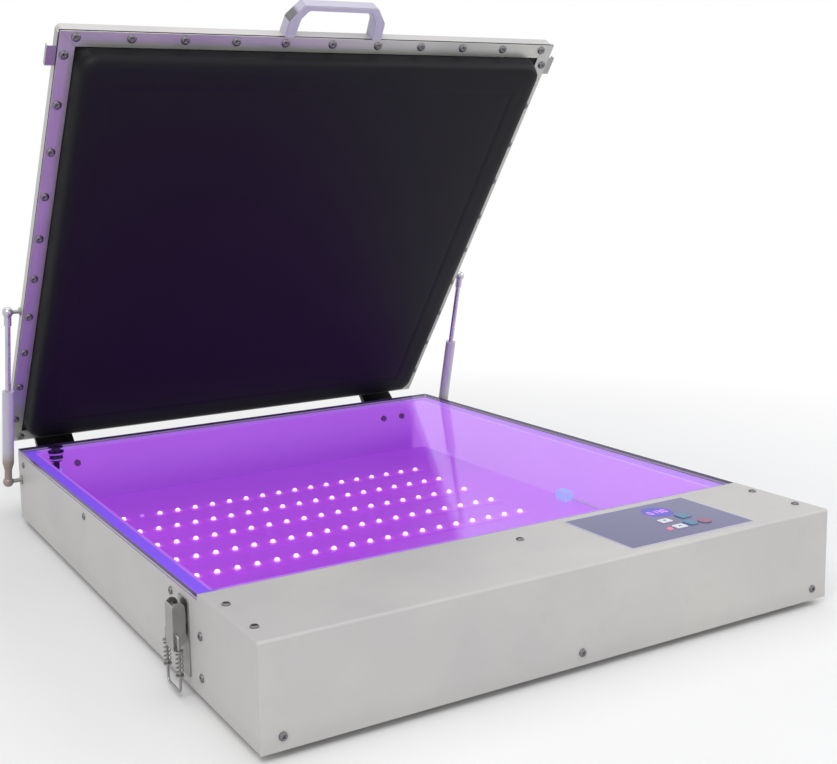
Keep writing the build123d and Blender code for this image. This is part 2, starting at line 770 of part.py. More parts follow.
# --- Power inlet with its rocker switch ----------------------------------------------------------------
inlet_y = from_front(inlet_from_front)
inlet_flange = 2.0
inlet_depth = 26.0
socket_drop = 11.0
socket_width = 24.0
socket_tall = 17.0
socket_depth = 15.0
rocker_up = 12.5
rocker_wide = 19.0
rocker_tall = 13.0
rocker_pocket = 9.0
rocker_proud = 2.6
rocker_tilt = 8.0  # pressed in at the top
flange_face = side_x + inlet_flange
rocker_pin = 1.2
rocker_x = flange_face - 3.5
rocker_z = inlet_height + rocker_up
with BuildPart() as power_inlet:
    with BuildSketch(side_plane(1, side_x)):
        with Locations((inlet_y, inlet_height)):
            RectangleRounded(inlet_width + 4, inlet_tall + 6, 3.0)
    extrude(amount=inlet_flange)
    with BuildSketch(side_plane(1, side_x)):
        with Locations((inlet_y, inlet_height)):
            Rectangle(inlet_width, inlet_tall)
    extrude(amount=-inlet_depth)
    with BuildSketch(side_plane(1, flange_face)):
        with Locations((inlet_y, inlet_height - socket_drop)):
            Rectangle(socket_width - 0.5, socket_tall)
    extrude(amount=-socket_depth, mode=Mode.SUBTRACT)
    with BuildSketch(side_plane(1, flange_face)):
        with Locations((inlet_y, inlet_height + rocker_up)):
            Rectangle(rocker_wide + 0.6, rocker_tall + 1.6)
    extrude(amount=-rocker_pocket, mode=Mode.SUBTRACT)
    with BuildSketch(side_plane(1, flange_face - socket_depth)):
        with Locations((inlet_y, inlet_height - socket_drop)):
            with Locations((-7, -2), (0, 2), (7, -2)):
                Rectangle(2, 4)
    extrude(amount=socket_depth - 3)
    with BuildSketch(Plane.XZ.offset(-inlet_y)):
        with Locations((rocker_x, rocker_z)):
            Circle(rocker_pin + running)
    extrude(amount=rocker_wide / 2 + 1.7, both=True, mode=Mode.SUBTRACT)
save(power_inlet, "power_inlet")

with BuildPart() as power_rocker:
    tilt = radians(rocker_tilt)
    with BuildSketch(
        Plane(origin=(rocker_x, inlet_y, rocker_z), x_dir=(cos(tilt), 0, sin(tilt)), z_dir=(0, -1, 0))
    ):
        with BuildLine():
            Polyline(
                (-3.0, -rocker_tall / 2 + 1.4),
                (3.4, -rocker_tall / 2),
                (2.6 + rocker_proud, -rocker_tall / 2),
                (1.8 + rocker_proud, 0),
                (2.6 + rocker_proud, rocker_tall / 2),
                (3.4, rocker_tall / 2),
                (-3.0, rocker_tall / 2 - 1.4),
                close=True,
            )
        make_face()
    extrude(amount=rocker_wide / 2, both=True)
    with BuildSketch(Plane.XZ.offset(-inlet_y)):
        with Locations((rocker_x, rocker_z)):
            Circle(rocker_pin)
    extrude(amount=rocker_wide / 2 + 1.5, both=True)
save(power_rocker, "power_rocker")

# --- Hinges: base brackets, pins and the lid's arms -----------------------------------------------------
bracket_half = hinge_width / 2 + ear_width + fit
bracket_low = hinge_z - 22.0
bracket_high = hinge_z + 30.0
with BuildPart() as hinge_brackets:
    for side in (-1, 1):
        with BuildSketch(Plane.XZ.offset(-back_y - hinge_plate)):
            with Locations((side * hinge_x, (bracket_low + bracket_high) / 2)):
                RectangleRounded(2 * bracket_half, bracket_high - bracket_low, 3.0)
        extrude(amount=hinge_plate)
        for ear in (-1, 1):
            ear_x = side * hinge_x + ear * (hinge_width / 2 + fit) - (ear_width if ear < 0 else 0)
            with BuildSketch(Plane.YZ.offset(ear_x)):
                with BuildLine():
                    Polyline(
                        (back_y + hinge_plate, bracket_low + 4),
                        (hinge_y, hinge_z - knuckle_radius),
                        (hinge_y, hinge_z + knuckle_radius),
                        (back_y + hinge_plate, bracket_high - 6),
                        close=True,
                    )
                make_face()
                with Locations((hinge_y, hinge_z)):
                    Circle(knuckle_radius)
                    Circle(hinge_pin_radius + running, mode=Mode.SUBTRACT)
            extrude(amount=ear_width)
save(hinge_brackets, "hinge_brackets")

with BuildPart() as hinge_pins:
    for side in (-1, 1):
        with BuildSketch(Plane.YZ.offset(side * hinge_x - bracket_half)):
            with Locations((hinge_y, hinge_z)):
                Circle(hinge_pin_radius)
        extrude(amount=2 * bracket_half)
        for end in (-1, 1):
            with BuildSketch(Plane.YZ.offset(side * hinge_x + end * bracket_half)):
                with Locations((hinge_y, hinge_z)):
                    Circle(hinge_pin_radius + 2)
            extrude(amount=end * 1.5)
save(hinge_pins, "hinge_pins")

arm_leaf = 6.0
with BuildPart() as hinge_arms:
    for side in (-1, 1):
        arm_plane = Plane(
            origin=(side * hinge_x + hinge_width / 2, lid_y, lid_z),
            x_dir=(0, -open_cos, open_sin),
            z_dir=(-1, 0, 0),
        )
        # Here X runs along the lid from its rear edge, and Y out of its back.
        with BuildSketch(arm_plane):
            with BuildLine():
                Line((-0.1, lid_depth - 1), (-0.1, 0.5))
                ThreePointArc((-0.1, 0.5), (-3.5, -26.0), (-hinge_setback + 7.5, -hinge_rise + 5))
                Line((-hinge_setback + 7.5, -hinge_rise + 5), (-hinge_setback - knuckle_radius, -hinge_rise))
                ThreePointArc(
                    (-hinge_setback - knuckle_radius, -hinge_rise),
                    (-arm_leaf - 11.0, -27.0),
                    (-arm_leaf, 2.0),
                )
                Line((-arm_leaf, 2.0), (-arm_leaf, lid_depth - 1))
                Line((-arm_leaf, lid_depth - 1), (-0.1, lid_depth - 1))
            make_face()
            with Locations((-hinge_setback, -hinge_rise)):
                Circle(knuckle_radius)
                Circle(hinge_pin_radius + running, mode=Mode.SUBTRACT)
        extrude(amount=hinge_width)
save(hinge_arms, "hinge_arms")

# --- Lid: pressed shell, rubber blanket, clamp strips and their screws ------------------------------------
strip_under = -strip_thickness
rubber_under = strip_under - rubber
lid_mid = lid_length / 2
with BuildPart() as lid_shell:
    with BuildSketch(lid_plane.offset(-lid_depth)):
        with Locations((0, lid_mid)):
            RectangleRounded(lid_width, lid_length, lid_corner)
    extrude(amount=lid_depth + rubber_under)
    fillet(lid_shell.faces().sort_by(lid_normal)[0].edges(), radius=bend_radius)
    offset(amount=-sheet, openings=lid_shell.faces().sort_by(lid_normal)[-1])
    with BuildSketch(lid_plane.offset(rubber_under)):
        with Locations((0, lid_mid)):
            RectangleRounded(lid_width - 1, lid_length - 1, lid_corner - 0.5)
            Rectangle(lid_width - 2 * lid_flange, lid_length - 2 * lid_flange, mode=Mode.SUBTRACT)
    extrude(amount=-sheet)
save(lid_shell, "lid_shell")

with BuildPart() as rubber_blanket:
    with BuildSketch(lid_plane.offset(rubber_under)):
        with Locations((0, lid_mid)):
            RectangleRounded(lid_width - 1, lid_length - 1, lid_corner - 0.5)
    extrude(amount=rubber)
    # The sheet hangs out of its frame in a pillow: steep sides, round corners, flat crown.
    for skin, mode in ((0.0, Mode.ADD), (rubber, Mode.SUBTRACT)):
        for height, inset, corner in (
            (strip_under, 1.0, 20.0),
            (0.55 * blanket_sag, 3.0, 24.0),
            (0.86 * blanket_sag, 12.0, 32.0),
            (blanket_sag, 60.0, 50.0),
        ):
            with BuildSketch(lid_plane.offset(height - skin)):
                with Locations((0, lid_mid)):
                    RectangleRounded(
                        lid_width - 2 * (strip_width + inset + skin),
                        lid_length - 2 * (strip_width + inset + skin),
                        corner - skin,
                    )
        loft(mode=mode)
save(rubber_blanket, "rubber_blanket")

half_w = lid_width / 2
mitre = strip_width
with BuildPart() as clamp_strips_side:
    with BuildSketch(lid_plane.offset(strip_under)):
        for side in (-1, 1):
            with BuildLine():
                Polyline(
                    (side * half_w, 0.2),
                    (side * half_w, lid_length - 0.2),
                    (side * (half_w - mitre), lid_length - mitre - 0.2),
                    (side * (half_w - mitre), mitre + 0.2),
                    close=True,
                )
            make_face()
    extrude(amount=strip_thickness)
save(clamp_strips_side, "clamp_strips_side")

with BuildPart() as clamp_strips_end:
    with BuildSketch(lid_plane.offset(strip_under)):
        for near, far in ((0.0, mitre), (lid_length, lid_length - mitre)):
            with BuildLine():
                Polyline(
                    (-half_w + 0.2, near),
                    (half_w - 0.2, near),
                    (half_w - mitre - 0.2, far),
                    (-half_w + mitre + 0.2, far),
                    close=True,
                )
            make_face()
    extrude(amount=strip_thickness)
save(clamp_strips_end, "clamp_strips_end")

end_row = int((half_w - lid_screw_inset) // lid_screw_pitch)
side_row = int((lid_length - 2 * lid_screw_first) // lid_screw_pitch) + 1
end_screws = [
    (i * lid_screw_pitch, y)
    for i in range(-end_row, end_row + 1)
    for y in (lid_screw_inset, lid_length - lid_screw_inset)
]
side_screws = [
    (side * (half_w - lid_screw_inset), lid_length - lid_screw_first - i * lid_screw_pitch)
    for i in range(side_row)
    for side in (-1, 1)
]
with BuildPart() as lid_screws:
    with BuildSketch(lid_plane):
        with Locations(*end_screws, *side_screws):
            Circle(lid_screw_radius)
    extrude(amount=lid_screw_height, taper=25)
save(lid_screws, "lid_screws")

# --- Handle on the lid's front edge ----------------------------------------------------------------------
handle_half = 78.0
handle_reach = 58.0
handle_leg = 14.0
handle_bar = 9.0
handle_bevel = 20.0
handle_depth = 19.0
with BuildPart() as lid_handle:
    with BuildSketch(lid_plane.offset(-lid_depth + 0.5)):
        with BuildLine():
            Polyline(
                (-handle_half, lid_length),
                (-handle_half + 4, lid_length + handle_reach - handle_bevel - 4),
                (-handle_half + handle_bevel, lid_length + handle_reach),
                (handle_half - handle_bevel, lid_length + handle_reach),
                (handle_half - 4, lid_length + handle_reach - handle_bevel - 4),
                (handle_half, lid_length),
                (handle_half - handle_leg, lid_length),
                (handle_half - handle_leg - 3, lid_length + handle_reach - handle_bevel - 6),
                (handle_half - handle_bevel - 9, lid_length + handle_reach - handle_bar),
                (-handle_half + handle_bevel + 9, lid_length + handle_reach - handle_bar),
                (-handle_half + handle_leg + 3, lid_length + handle_reach - handle_bevel - 6),
                (-handle_half + handle_leg, lid_length),
                close=True,
            )
        make_face()
    extrude(amount=handle_depth)
    long_edges = lid_handle.edges().filter_by(lid_normal)
    fillet(long_edges.filter_by(lambda e: on_lid(lid_length + 5, 0)[1] < e.center().Z), 2.0)
save(lid_handle, "lid_handle")

# --- Catches on the lid's sides ------------------------------------------------------------------------------
catch_y = base_depth - latch_from_front  # from the lid's rear edge, over the latches
catch_plate = 46.0
catch_tall = 14.0
hook_length = 27.0
hook_reach = 13.0
hook_lip = 5.0
hook_low = 3.0  # ledge's under side behind the strip face
with BuildPart() as lid_catches:
    for side in (-1, 1):
        rim = side * half_w
        with BuildSketch(lid_section.offset(catch_y - hook_length / 2)):
            with BuildLine():
                Polyline(
                    (rim, hook_low),
                    (rim + side * hook_reach, hook_low),
                    (rim + side * hook_reach, hook_low + hook_lip + sheet),
                    (rim + side * (hook_reach - sheet), hook_low + hook_lip + sheet),
                    (rim + side * (hook_reach - sheet), hook_low + sheet),
                    (rim, hook_low + sheet),
                    close=True,
                )
            make_face()
        extrude(amount=hook_length)
        with BuildSketch(lid_section.offset(catch_y - hook_length / 2)):
            with Locations((rim + side * sheet / 2, hook_low + catch_tall / 2)):
                Rectangle(sheet, catch_tall)
        extrude(amount=catch_plate)
save(lid_catches, "lid_catches")

# --- Gas springs: ball studs, tubes and rods --------------------------------------------------------------------
strut_base_y = from_front(strut_base_from_front)
strut_base_z = foot_height + strut_base_height
strut_top_y, strut_top_z = on_lid(strut_on_lid, -strut_lid_drop)
strut_open = hypot(strut_top_y - strut_base_y, strut_top_z - strut_base_z)
strut_dir = (0, (strut_top_y - strut_base_y) / strut_open, (strut_top_z - strut_base_z) / strut_open)
stud_end = strut_x - socket_radius + 0.4
upper_flat = stud_end + 0.4

with BuildPart() as base_ball_studs:
    for side in (-1, 1):
        with BuildSketch(side_plane(side, side_x, strut_base_y, strut_base_z)):
            Circle(7.0)
        extrude(amount=2.5)
        with BuildSketch(side_plane(side, side_x, strut_base_y, strut_base_z)):
            Circle(stud_radius)
        extrude(amount=strut_x - side_x)
        with Locations(ball_plane(side * strut_x, strut_base_y, strut_base_z, strut_dir)):
            Sphere(ball_radius)
save(base_ball_studs, "base_ball_studs")

with BuildPart() as lid_ball_studs:
    for side in (-1, 1):
        with BuildSketch(side_plane(side, half_w, strut_top_y, strut_top_z)):
            Circle(6.0)
        extrude(amount=2.5)
        with BuildSketch(side_plane(side, half_w, strut_top_y, strut_top_z)):
            Circle(stud_radius)
        extrude(amount=stud_end - half_w)
save(lid_ball_studs, "lid_ball_studs")

rod_depth = 92.0  # bore of the tube below its open end
rod_inside = 66.0  # rod inside the tube with the lid open
for side, name in ((-1, "left"), (1, "right")):
    axis_plane = ball_plane(side * strut_x, strut_base_y, strut_base_z, strut_dir)
    with BuildPart() as strut_tube:
        with Locations(axis_plane):
            Sphere(socket_radius)
        with BuildSketch(axis_plane):
            Circle(neck_radius)
        extrude(amount=tube_start)
        with BuildSketch(axis_plane.offset(tube_start - tube_taper)):
            Circle(neck_radius)
        with BuildSketch(axis_plane.offset(tube_start)):
            Circle(tube_radius)
        loft()
        with BuildSketch(axis_plane.offset(tube_start)):
            Circle(tube_radius)
        extrude(amount=tube_end - tube_start)
        with BuildSketch(axis_plane.offset(tube_end)):
            Circle(rod_radius + running)
        extrude(amount=-rod_depth, mode=Mode.SUBTRACT)
        with Locations(axis_plane):
            Sphere(ball_radius + running, mode=Mode.SUBTRACT)
        with BuildSketch(side_plane(side, strut_x, strut_base_y, strut_base_z)):
            Circle(stud_radius + running)
        extrude(amount=-socket_radius - 1, mode=Mode.SUBTRACT)
    save(strut_tube, f"strut_tube_{name}")
    with BuildPart() as strut_rod:
        with BuildSketch(axis_plane.offset(tube_end - rod_inside)):
            Circle(rod_radius)
        extrude(amount=strut_open - tube_end + rod_inside)
        with BuildSketch(axis_plane.offset(strut_open - 20)):
            Circle(neck_radius)
        extrude(amount=20)
        with Locations(axis_plane.offset(strut_open)):
            Sphere(socket_radius)
        with BuildSketch(side_plane(side, upper_flat, strut_top_y, strut_top_z)):
            Circle(socket_radius + 1)
        extrude(amount=-socket_radius, mode=Mode.SUBTRACT)
    save(strut_rod, f"strut_rod_{name}")

# --- Toggle latches: base, lever, spring bail ----------------------------------------------------------------------
latch_y = from_front(latch_from_front)
latch_pivot_z = foot_height + latch_pivot_height
bail_pivot_z = latch_pivot_z - bail_below_pivot
pin_radius = 1.8
ear_gap = latch_lever_width / 2 - sheet - 2 * sheet
plate_half = 14.0
plate_low = foot_height + 12.0
plate_high = foot_height + 95.0
lever_radius = latch_lever_depth / 2
lever_low = latch_pivot_z + lever_radius - latch_lever_length

with BuildPart() as latch_bases:
    for side in (-1, 1):
        with BuildSketch(side_plane(side, side_x, latch_y, (plate_low + plate_high) / 2)):
            RectangleRounded(2 * plate_half, plate_high - plate_low, 4.0)
        extrude(amount=sheet)
        for ear in (-1, 1):
            with BuildSketch(Plane.XZ.offset(-latch_y - ear * ear_gap - (sheet if ear > 0 else 0))):
                with BuildLine():
                    Polyline(
                        (side * (side_x + sheet), latch_pivot_z - 18),
                        (side * (side_x + latch_pivot_out + 1.8), latch_pivot_z - 2.6),
                        (side * (side_x + latch_pivot_out - 1.8), latch_pivot_z + 2.6),
                        (side * (side_x + sheet), latch_pivot_z - 5),
                        close=True,
                    )
                make_face()
                with Locations((side * (side_x + latch_pivot_out), latch_pivot_z)):
                    Circle(3.2)
                    Circle(pin_radius + running, mode=Mode.SUBTRACT)
            extrude(amount=sheet)
save(latch_bases, "latch_bases")

for side, name in ((-1, "left"), (1, "right")):
    wall = side * side_x
    pivot = wall + side * latch_pivot_out
    lever_in = pivot - side * lever_radius
    lever_out = pivot + side * lever_radius
    bail_x = pivot + side * 4.0
    with BuildPart() as latch_lever:
        # A channel with two side walls and a bridge, round at its upper end.
        with BuildSketch(Plane.XZ.offset(-latch_y - latch_lever_width / 2)):
            with BuildLine():
                Polyline(
                    (lever_out, latch_pivot_z),
                    (lever_out, lever_low),
                    (lever_out - side * 5, lever_low),
                    (lever_in, lever_low + 8),
                    (lever_in, latch_pivot_z),
                )
                ThreePointArc(
                    (lever_in, latch_pivot_z),
                    (pivot, latch_pivot_z + lever_radius),
                    (lever_out, latch_pivot_z),
                )
            make_face()
        extrude(amount=latch_lever_width)
        with BuildSketch(Plane.XZ.offset(-latch_y - latch_lever_width / 2 + sheet)):
            with Locations((pivot - side * sheet, latch_pivot_z)):
                Rectangle(latch_lever_depth, 2 * latch_lever_length)
        extrude(amount=latch_lever_width - 2 * sheet, mode=Mode.SUBTRACT)
        with BuildSketch(Plane.XZ.offset(-latch_y - latch_lever_width / 2)):
            with Locations((pivot, latch_pivot_z)):
                Circle(pin_radius)
        extrude(amount=latch_lever_width)
        with BuildSketch(Plane.XZ.offset(-latch_y - latch_lever_width / 2 - 1)):
            with Locations((pivot, latch_pivot_z)):
                Circle(pin_radius + 1)
        extrude(amount=1)
        with BuildSketch(Plane.XZ.offset(-latch_y + latch_lever_width / 2)):
            with Locations((pivot, latch_pivot_z)):
                Circle(pin_radius + 1)
        extrude(amount=1)
        with BuildSketch(Plane.XZ.offset(-latch_y - latch_lever_width / 2 - 1)):
            with Locations((bail_x, bail_pivot_z)):
                Circle(bail_radius + running)
        extrude(amount=latch_lever_width + 2, mode=Mode.SUBTRACT)
    save(latch_lever, f"latch_lever_{name}")

    bail_end = bail_pivot_z - bail_drop
    with BuildPart() as latch_bail:
        with BuildLine() as bail_route:
            FilletPolyline(
                (bail_x, latch_y - latch_lever_width / 2 + sheet - 0.2, bail_pivot_z),
                (bail_x, latch_y - bail_half_width, bail_pivot_z),
                (bail_x, latch_y - bail_half_width, bail_end),
                (bail_x, latch_y + bail_half_width, bail_end),
                (bail_x, latch_y + bail_half_width, bail_pivot_z),
                (bail_x, latch_y + latch_lever_width / 2 - sheet + 0.2, bail_pivot_z),
                radius=[3.0, 6.0, 6.0, 3.0],
            )
        with BuildSketch(Plane(origin=bail_route.line @ 0, z_dir=(0, -1, 0))):
            Circle(bail_radius)
        sweep(path=bail_route.line)
        for end in (-1, 1):
            for level in (bail_pivot_z - 14.0, bail_pivot_z - 40.0):
                with BuildSketch(Plane.XY.offset(level)):
                    with Locations((bail_x, latch_y + end * bail_half_width)):
                        Circle(4.4)
                extrude(amount=-1.2)
    save(latch_bail, f"latch_bail_{name}")

    spring_radius = 3.7
    spring_wire = 0.6
    spring_turns = 5
    spring_low = bail_pivot_z - 40.0 + spring_wire + 0.1
    spring_high = bail_pivot_z - 15.2 - spring_wire - 0.1
    with BuildPart() as latch_springs:
        for end in (-1, 1):
            centre = (bail_x, latch_y + end * bail_half_width, spring_low)
            with BuildLine() as coil:
                Helix(
                    pitch=(spring_high - spring_low) / spring_turns,
                    height=spring_high - spring_low,
                    radius=spring_radius,
                    center=centre,
                )
            with BuildSketch(Plane(origin=coil.line @ 0, z_dir=coil.line % 0)):
                RegularPolygon(spring_wire, 6)
            sweep(path=coil.line, is_frenet=True)
    # Points of the wire's centre line that lie half a turn or more apart along it.
    points = [coil.line @ (step / 100) for step in range(101)]
    half_turn = 50 // spring_turns
    nearest = min((points[a] - points[b]).length for a in range(101) for b in range(a + half_turn, 101))
    print(f"{name} latch springs: least gap between turns {nearest - 2 * spring_wire:.2f} mm")
    save(latch_springs, f"latch_springs_{name}")

# --- Screw heads of the base ------------------------------------------------------------------------------------------
rail_screw_first = 214.0
rail_screw_pitch = 309.0
rail_screw_z = foot_height + 90.0
wall_screws = [(from_front(rail_screw_first + i * rail_screw_pitch), rail_screw_z) for i in range(3)]
tab_y = seam_y - 6.0
wall_screws += [(tab_y, foot_height + 67.0), (tab_y, foot_height + 23.0)]
cover_screw_x = side_x - 14.0
top_screws = [(side * cover_screw_x, from_front(y)) for side in (-1, 1) for y in (35.0, 100.0)]
top_screws += [(0, from_front(105.0))]
lip_screws = [(x, foot_height + 15.0) for x in (-cover_screw_x + 9, 0, cover_screw_x - 9)]
hinge_bolts = [
    (side * hinge_x + end * hinge_bolt_spacing / 2, foot_height + 74.0)
    for side in (-1, 1)
    for end in (-1, 1)
]
with BuildPart() as base_screws:
    for side in (-1, 1):
        with BuildSketch(side_plane(side, side_x)):
            with Locations(*[(side * y, z) for y, z in wall_screws]):
                Circle(screw_radius)
        extrude(amount=screw_height, taper=20)
    with BuildSketch(Plane.XY.offset(glass_top)):
        with Locations(*top_screws):
            Circle(screw_radius)
    extrude(amount=screw_height, taper=20)
    with BuildSketch(Plane.XZ.offset(-front_y)):
        with Locations(*lip_screws):
            Circle(screw_radius)
    extrude(amount=screw_height, taper=20)
    with BuildSketch(Plane.XZ.offset(-inner_back)):
        with Locations(*hinge_bolts):
            RegularPolygon(5.5, 6)
    extrude(amount=4)
save(base_screws, "base_screws")
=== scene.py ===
"""Looks of the screen printing exposure unit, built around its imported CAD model."""

import json
import math

import bmesh
import bpy
import numpy as np
from mathutils import Matrix, Vector


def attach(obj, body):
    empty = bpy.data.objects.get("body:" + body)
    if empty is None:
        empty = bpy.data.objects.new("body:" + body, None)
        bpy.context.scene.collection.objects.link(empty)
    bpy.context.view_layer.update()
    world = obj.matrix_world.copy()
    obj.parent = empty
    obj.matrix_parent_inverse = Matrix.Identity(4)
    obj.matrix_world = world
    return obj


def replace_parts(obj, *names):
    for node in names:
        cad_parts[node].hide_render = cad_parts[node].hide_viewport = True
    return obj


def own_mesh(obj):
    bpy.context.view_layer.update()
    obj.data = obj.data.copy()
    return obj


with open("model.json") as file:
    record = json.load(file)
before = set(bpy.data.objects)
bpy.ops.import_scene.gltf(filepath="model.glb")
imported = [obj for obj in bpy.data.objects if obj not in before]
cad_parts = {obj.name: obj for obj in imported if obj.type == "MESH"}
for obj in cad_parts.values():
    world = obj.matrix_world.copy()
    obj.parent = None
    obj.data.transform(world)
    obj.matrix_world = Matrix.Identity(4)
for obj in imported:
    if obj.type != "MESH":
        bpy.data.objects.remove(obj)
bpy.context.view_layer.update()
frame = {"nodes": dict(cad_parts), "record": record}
nodes = frame["nodes"]

# --- Places in the row frame, in metres, as part.py has them --------------------------
FRONT = -0.433
SEAM = -0.292
GLASS_TOP = 0.117
BOARD_TOP = 0.0216
OPEN = math.radians(54.6)
HINGE = Vector((0.0, 0.458, 0.0613))
LID_WIDTH = 0.754
LID_LENGTH = 0.724
HINGE_BEHIND = 0.025
STRIP = 0.021
RISE = GLASS_TOP + 0.0037 - HINGE.z
LID_ORIGIN = Vector(
    (
        0.0,
        HINGE.y - HINGE_BEHIND * math.cos(OPEN) + RISE * math.sin(OPEN),
        HINGE.z + HINGE_BEHIND * math.sin(OPEN) + RISE * math.cos(OPEN),
    )
)
ALONG = Vector((0.0, -math.cos(OPEN), math.sin(OPEN)))  # up the lid, from its hinged edge
INWARD = Vector((0.0, -math.sin(OPEN), -math.cos(OPEN)))  # out of the blanket's face
LED_COLUMNS, LED_ROWS = 19, 7
LED_PITCH = (0.02865, 0.0712)
LED_FIRST = (-9 * 0.02865, FRONT + 0.2944)
WALL_X = 0.375  # the base's side walls, either way
PRINT_LEVEL = GLASS_TOP + 0.0005


def on_lid(x, along, out=0.0):
    """A point in the row frame from its place on the lid."""
    return LID_ORIGIN + Vector((x, 0, 0)) + ALONG * along + INWARD * out


def colour(code):
    """A hex colour as linear RGBA."""
    parts = [int(code[i : i + 2], 16) / 255 for i in (1, 3, 5)]
    return [c / 12.92 if c <= 0.04045 else ((c + 0.055) / 1.055) ** 2.4 for c in parts] + [1.0]


# --- Shader nodes as sums -------------------------------------------------------------
class Value:
    """A node's output that takes part in sums."""

    def __init__(self, net, socket):
        self.net = net
        self.socket = socket

    def math(self, operation, *others, clamp=False):
        node = self.net.tree.nodes.new("ShaderNodeMath")
        node.operation = operation
        node.use_clamp = clamp
        for slot, value in zip(node.inputs, (self, *others)):
            self.net.feed(slot, value)
        return Value(self.net, node.outputs[0])

    def __add__(self, other):
        return self.math("ADD", other)

    def __radd__(self, other):
        return self.math("ADD", other)

    def __sub__(self, other):
        return self.math("SUBTRACT", other)

    def __rsub__(self, other):
        return (self * -1.0).math("ADD", other)

    def __mul__(self, other):
        return self.math("MULTIPLY", other)

    def __rmul__(self, other):
        return self.math("MULTIPLY", other)

    def __truediv__(self, other):
        return self.math("DIVIDE", other)

    def __pow__(self, other):
        return self.math("POWER", other)

    def __abs__(self):
        return self.math("ABSOLUTE")

    def above(self, edge, soft=1e-5):
        """0 below the edge and 1 above it, softened over the given width."""
        return ((self - (edge - soft / 2)) / soft).math("ADD", 0.0, clamp=True)

    def below(self, edge, soft=1e-5):
        return 1.0 - self.above(edge, soft)

    def within(self, low, high, soft=1e-5):
        return self.above(low, soft) * self.below(high, soft)

    def ramp(self, low, high):
        """0 at low and 1 at high, clamped."""
        return ((self - low) / (high - low)).math("ADD", 0.0, clamp=True)


class Net:
    """A material's node tree."""

    def __init__(self, name):
        self.material = bpy.data.materials.new(name)
        self.material.use_nodes = True
        self.tree = self.material.node_tree
        self.tree.nodes.clear()
        self.output = self.tree.nodes.new("ShaderNodeOutputMaterial")

    def feed(self, slot, value):
        if isinstance(value, Value):
            self.tree.links.new(value.socket, slot)
        elif value is not None:
            slot.default_value = value

    def node(self, kind, output=0, settings=None, **inputs):
        """Adds a node. Keywords are its inputs, with underscores for spaces."""
        node = self.tree.nodes.new("ShaderNode" + kind)
        for key, value in (settings or {}).items():
            setattr(node, key, value)
        for key, value in inputs.items():
            self.feed(node.inputs[key.replace("_", " ")], value)
        return Value(self, node.outputs[output])

    def place(self):
        """The point's coordinates in the piece's own rest frame."""
        coords = self.node("TexCoord", output="Object")
        split = self.node("SeparateXYZ", Vector=coords).socket.node
        return [Value(self, split.outputs[i]) for i in range(3)]

    def lid_place(self):
        """Across, along and out of the lid, for a piece in the row frame."""
        x, y, z = self.place()
        dy, dz = y - LID_ORIGIN.y, z - LID_ORIGIN.z
        along = dy * ALONG.y + dz * ALONG.z
        out = dy * INWARD.y + dz * INWARD.z
        return x, along, out

    def stretched(self, x, y, z):
        return self.node("CombineXYZ", X=x, Y=y, Z=z)

    def noise(self, scale, detail=3.0, roughness=0.5, where=None):
        if where is None:
            where = self.node("TexCoord", output="Object")
        return self.node("TexNoise", Vector=where, Scale=scale, Detail=detail, Roughness=roughness)

    def mix(self, factor, first, second):
        """A colour between two colours."""
        node = self.tree.nodes.new("ShaderNodeMix")
        node.data_type = "RGBA"
        self.feed(node.inputs[0], factor)
        self.feed(node.inputs[6], first)
        self.feed(node.inputs[7], second)
        return Value(self, node.outputs[2])

    def bump(self, height, strength=0.2, distance=0.0005):
        return self.node("Bump", Height=height, Strength=strength, Distance=distance)

    def surface(self, **inputs):
        shader = self.node("BsdfPrincipled", **inputs)
        self.tree.links.new(shader.socket, self.output.inputs["Surface"])
        return shader

    def shader(self, value):
        self.tree.links.new(value.socket, self.output.inputs["Surface"])


def led_glow(net, x, y, width):
    """1 on each light and falling off around it, over the whole array."""
    across = ((x - LED_FIRST[0]) / LED_PITCH[0] + 0.5).math("FRACT") - 0.5
    deep = ((y - LED_FIRST[1]) / LED_PITCH[1] + 0.5).math("FRACT") - 0.5
    dx, dy = across * LED_PITCH[0], deep * LED_PITCH[1]
    squared = dx * dx + dy * dy
    glow = (squared * (-1.0 / width**2)).math("EXPONENT")
    low, high = LED_FIRST[1] - 0.035, LED_FIRST[1] + 0.462
    inside = x.within(-0.272, 0.272, 0.004) * y.within(low, high, 0.004)
    return glow * inside


def darkened_led(x, y):
    """1 on the one light that is drawn dark, in the rear row."""
    far_x, far_y = LED_FIRST[0] + LED_PITCH[0], LED_FIRST[1] + 6 * LED_PITCH[1]
    return abs(x - far_x).below(0.012) * abs(y - far_y).below(0.03)


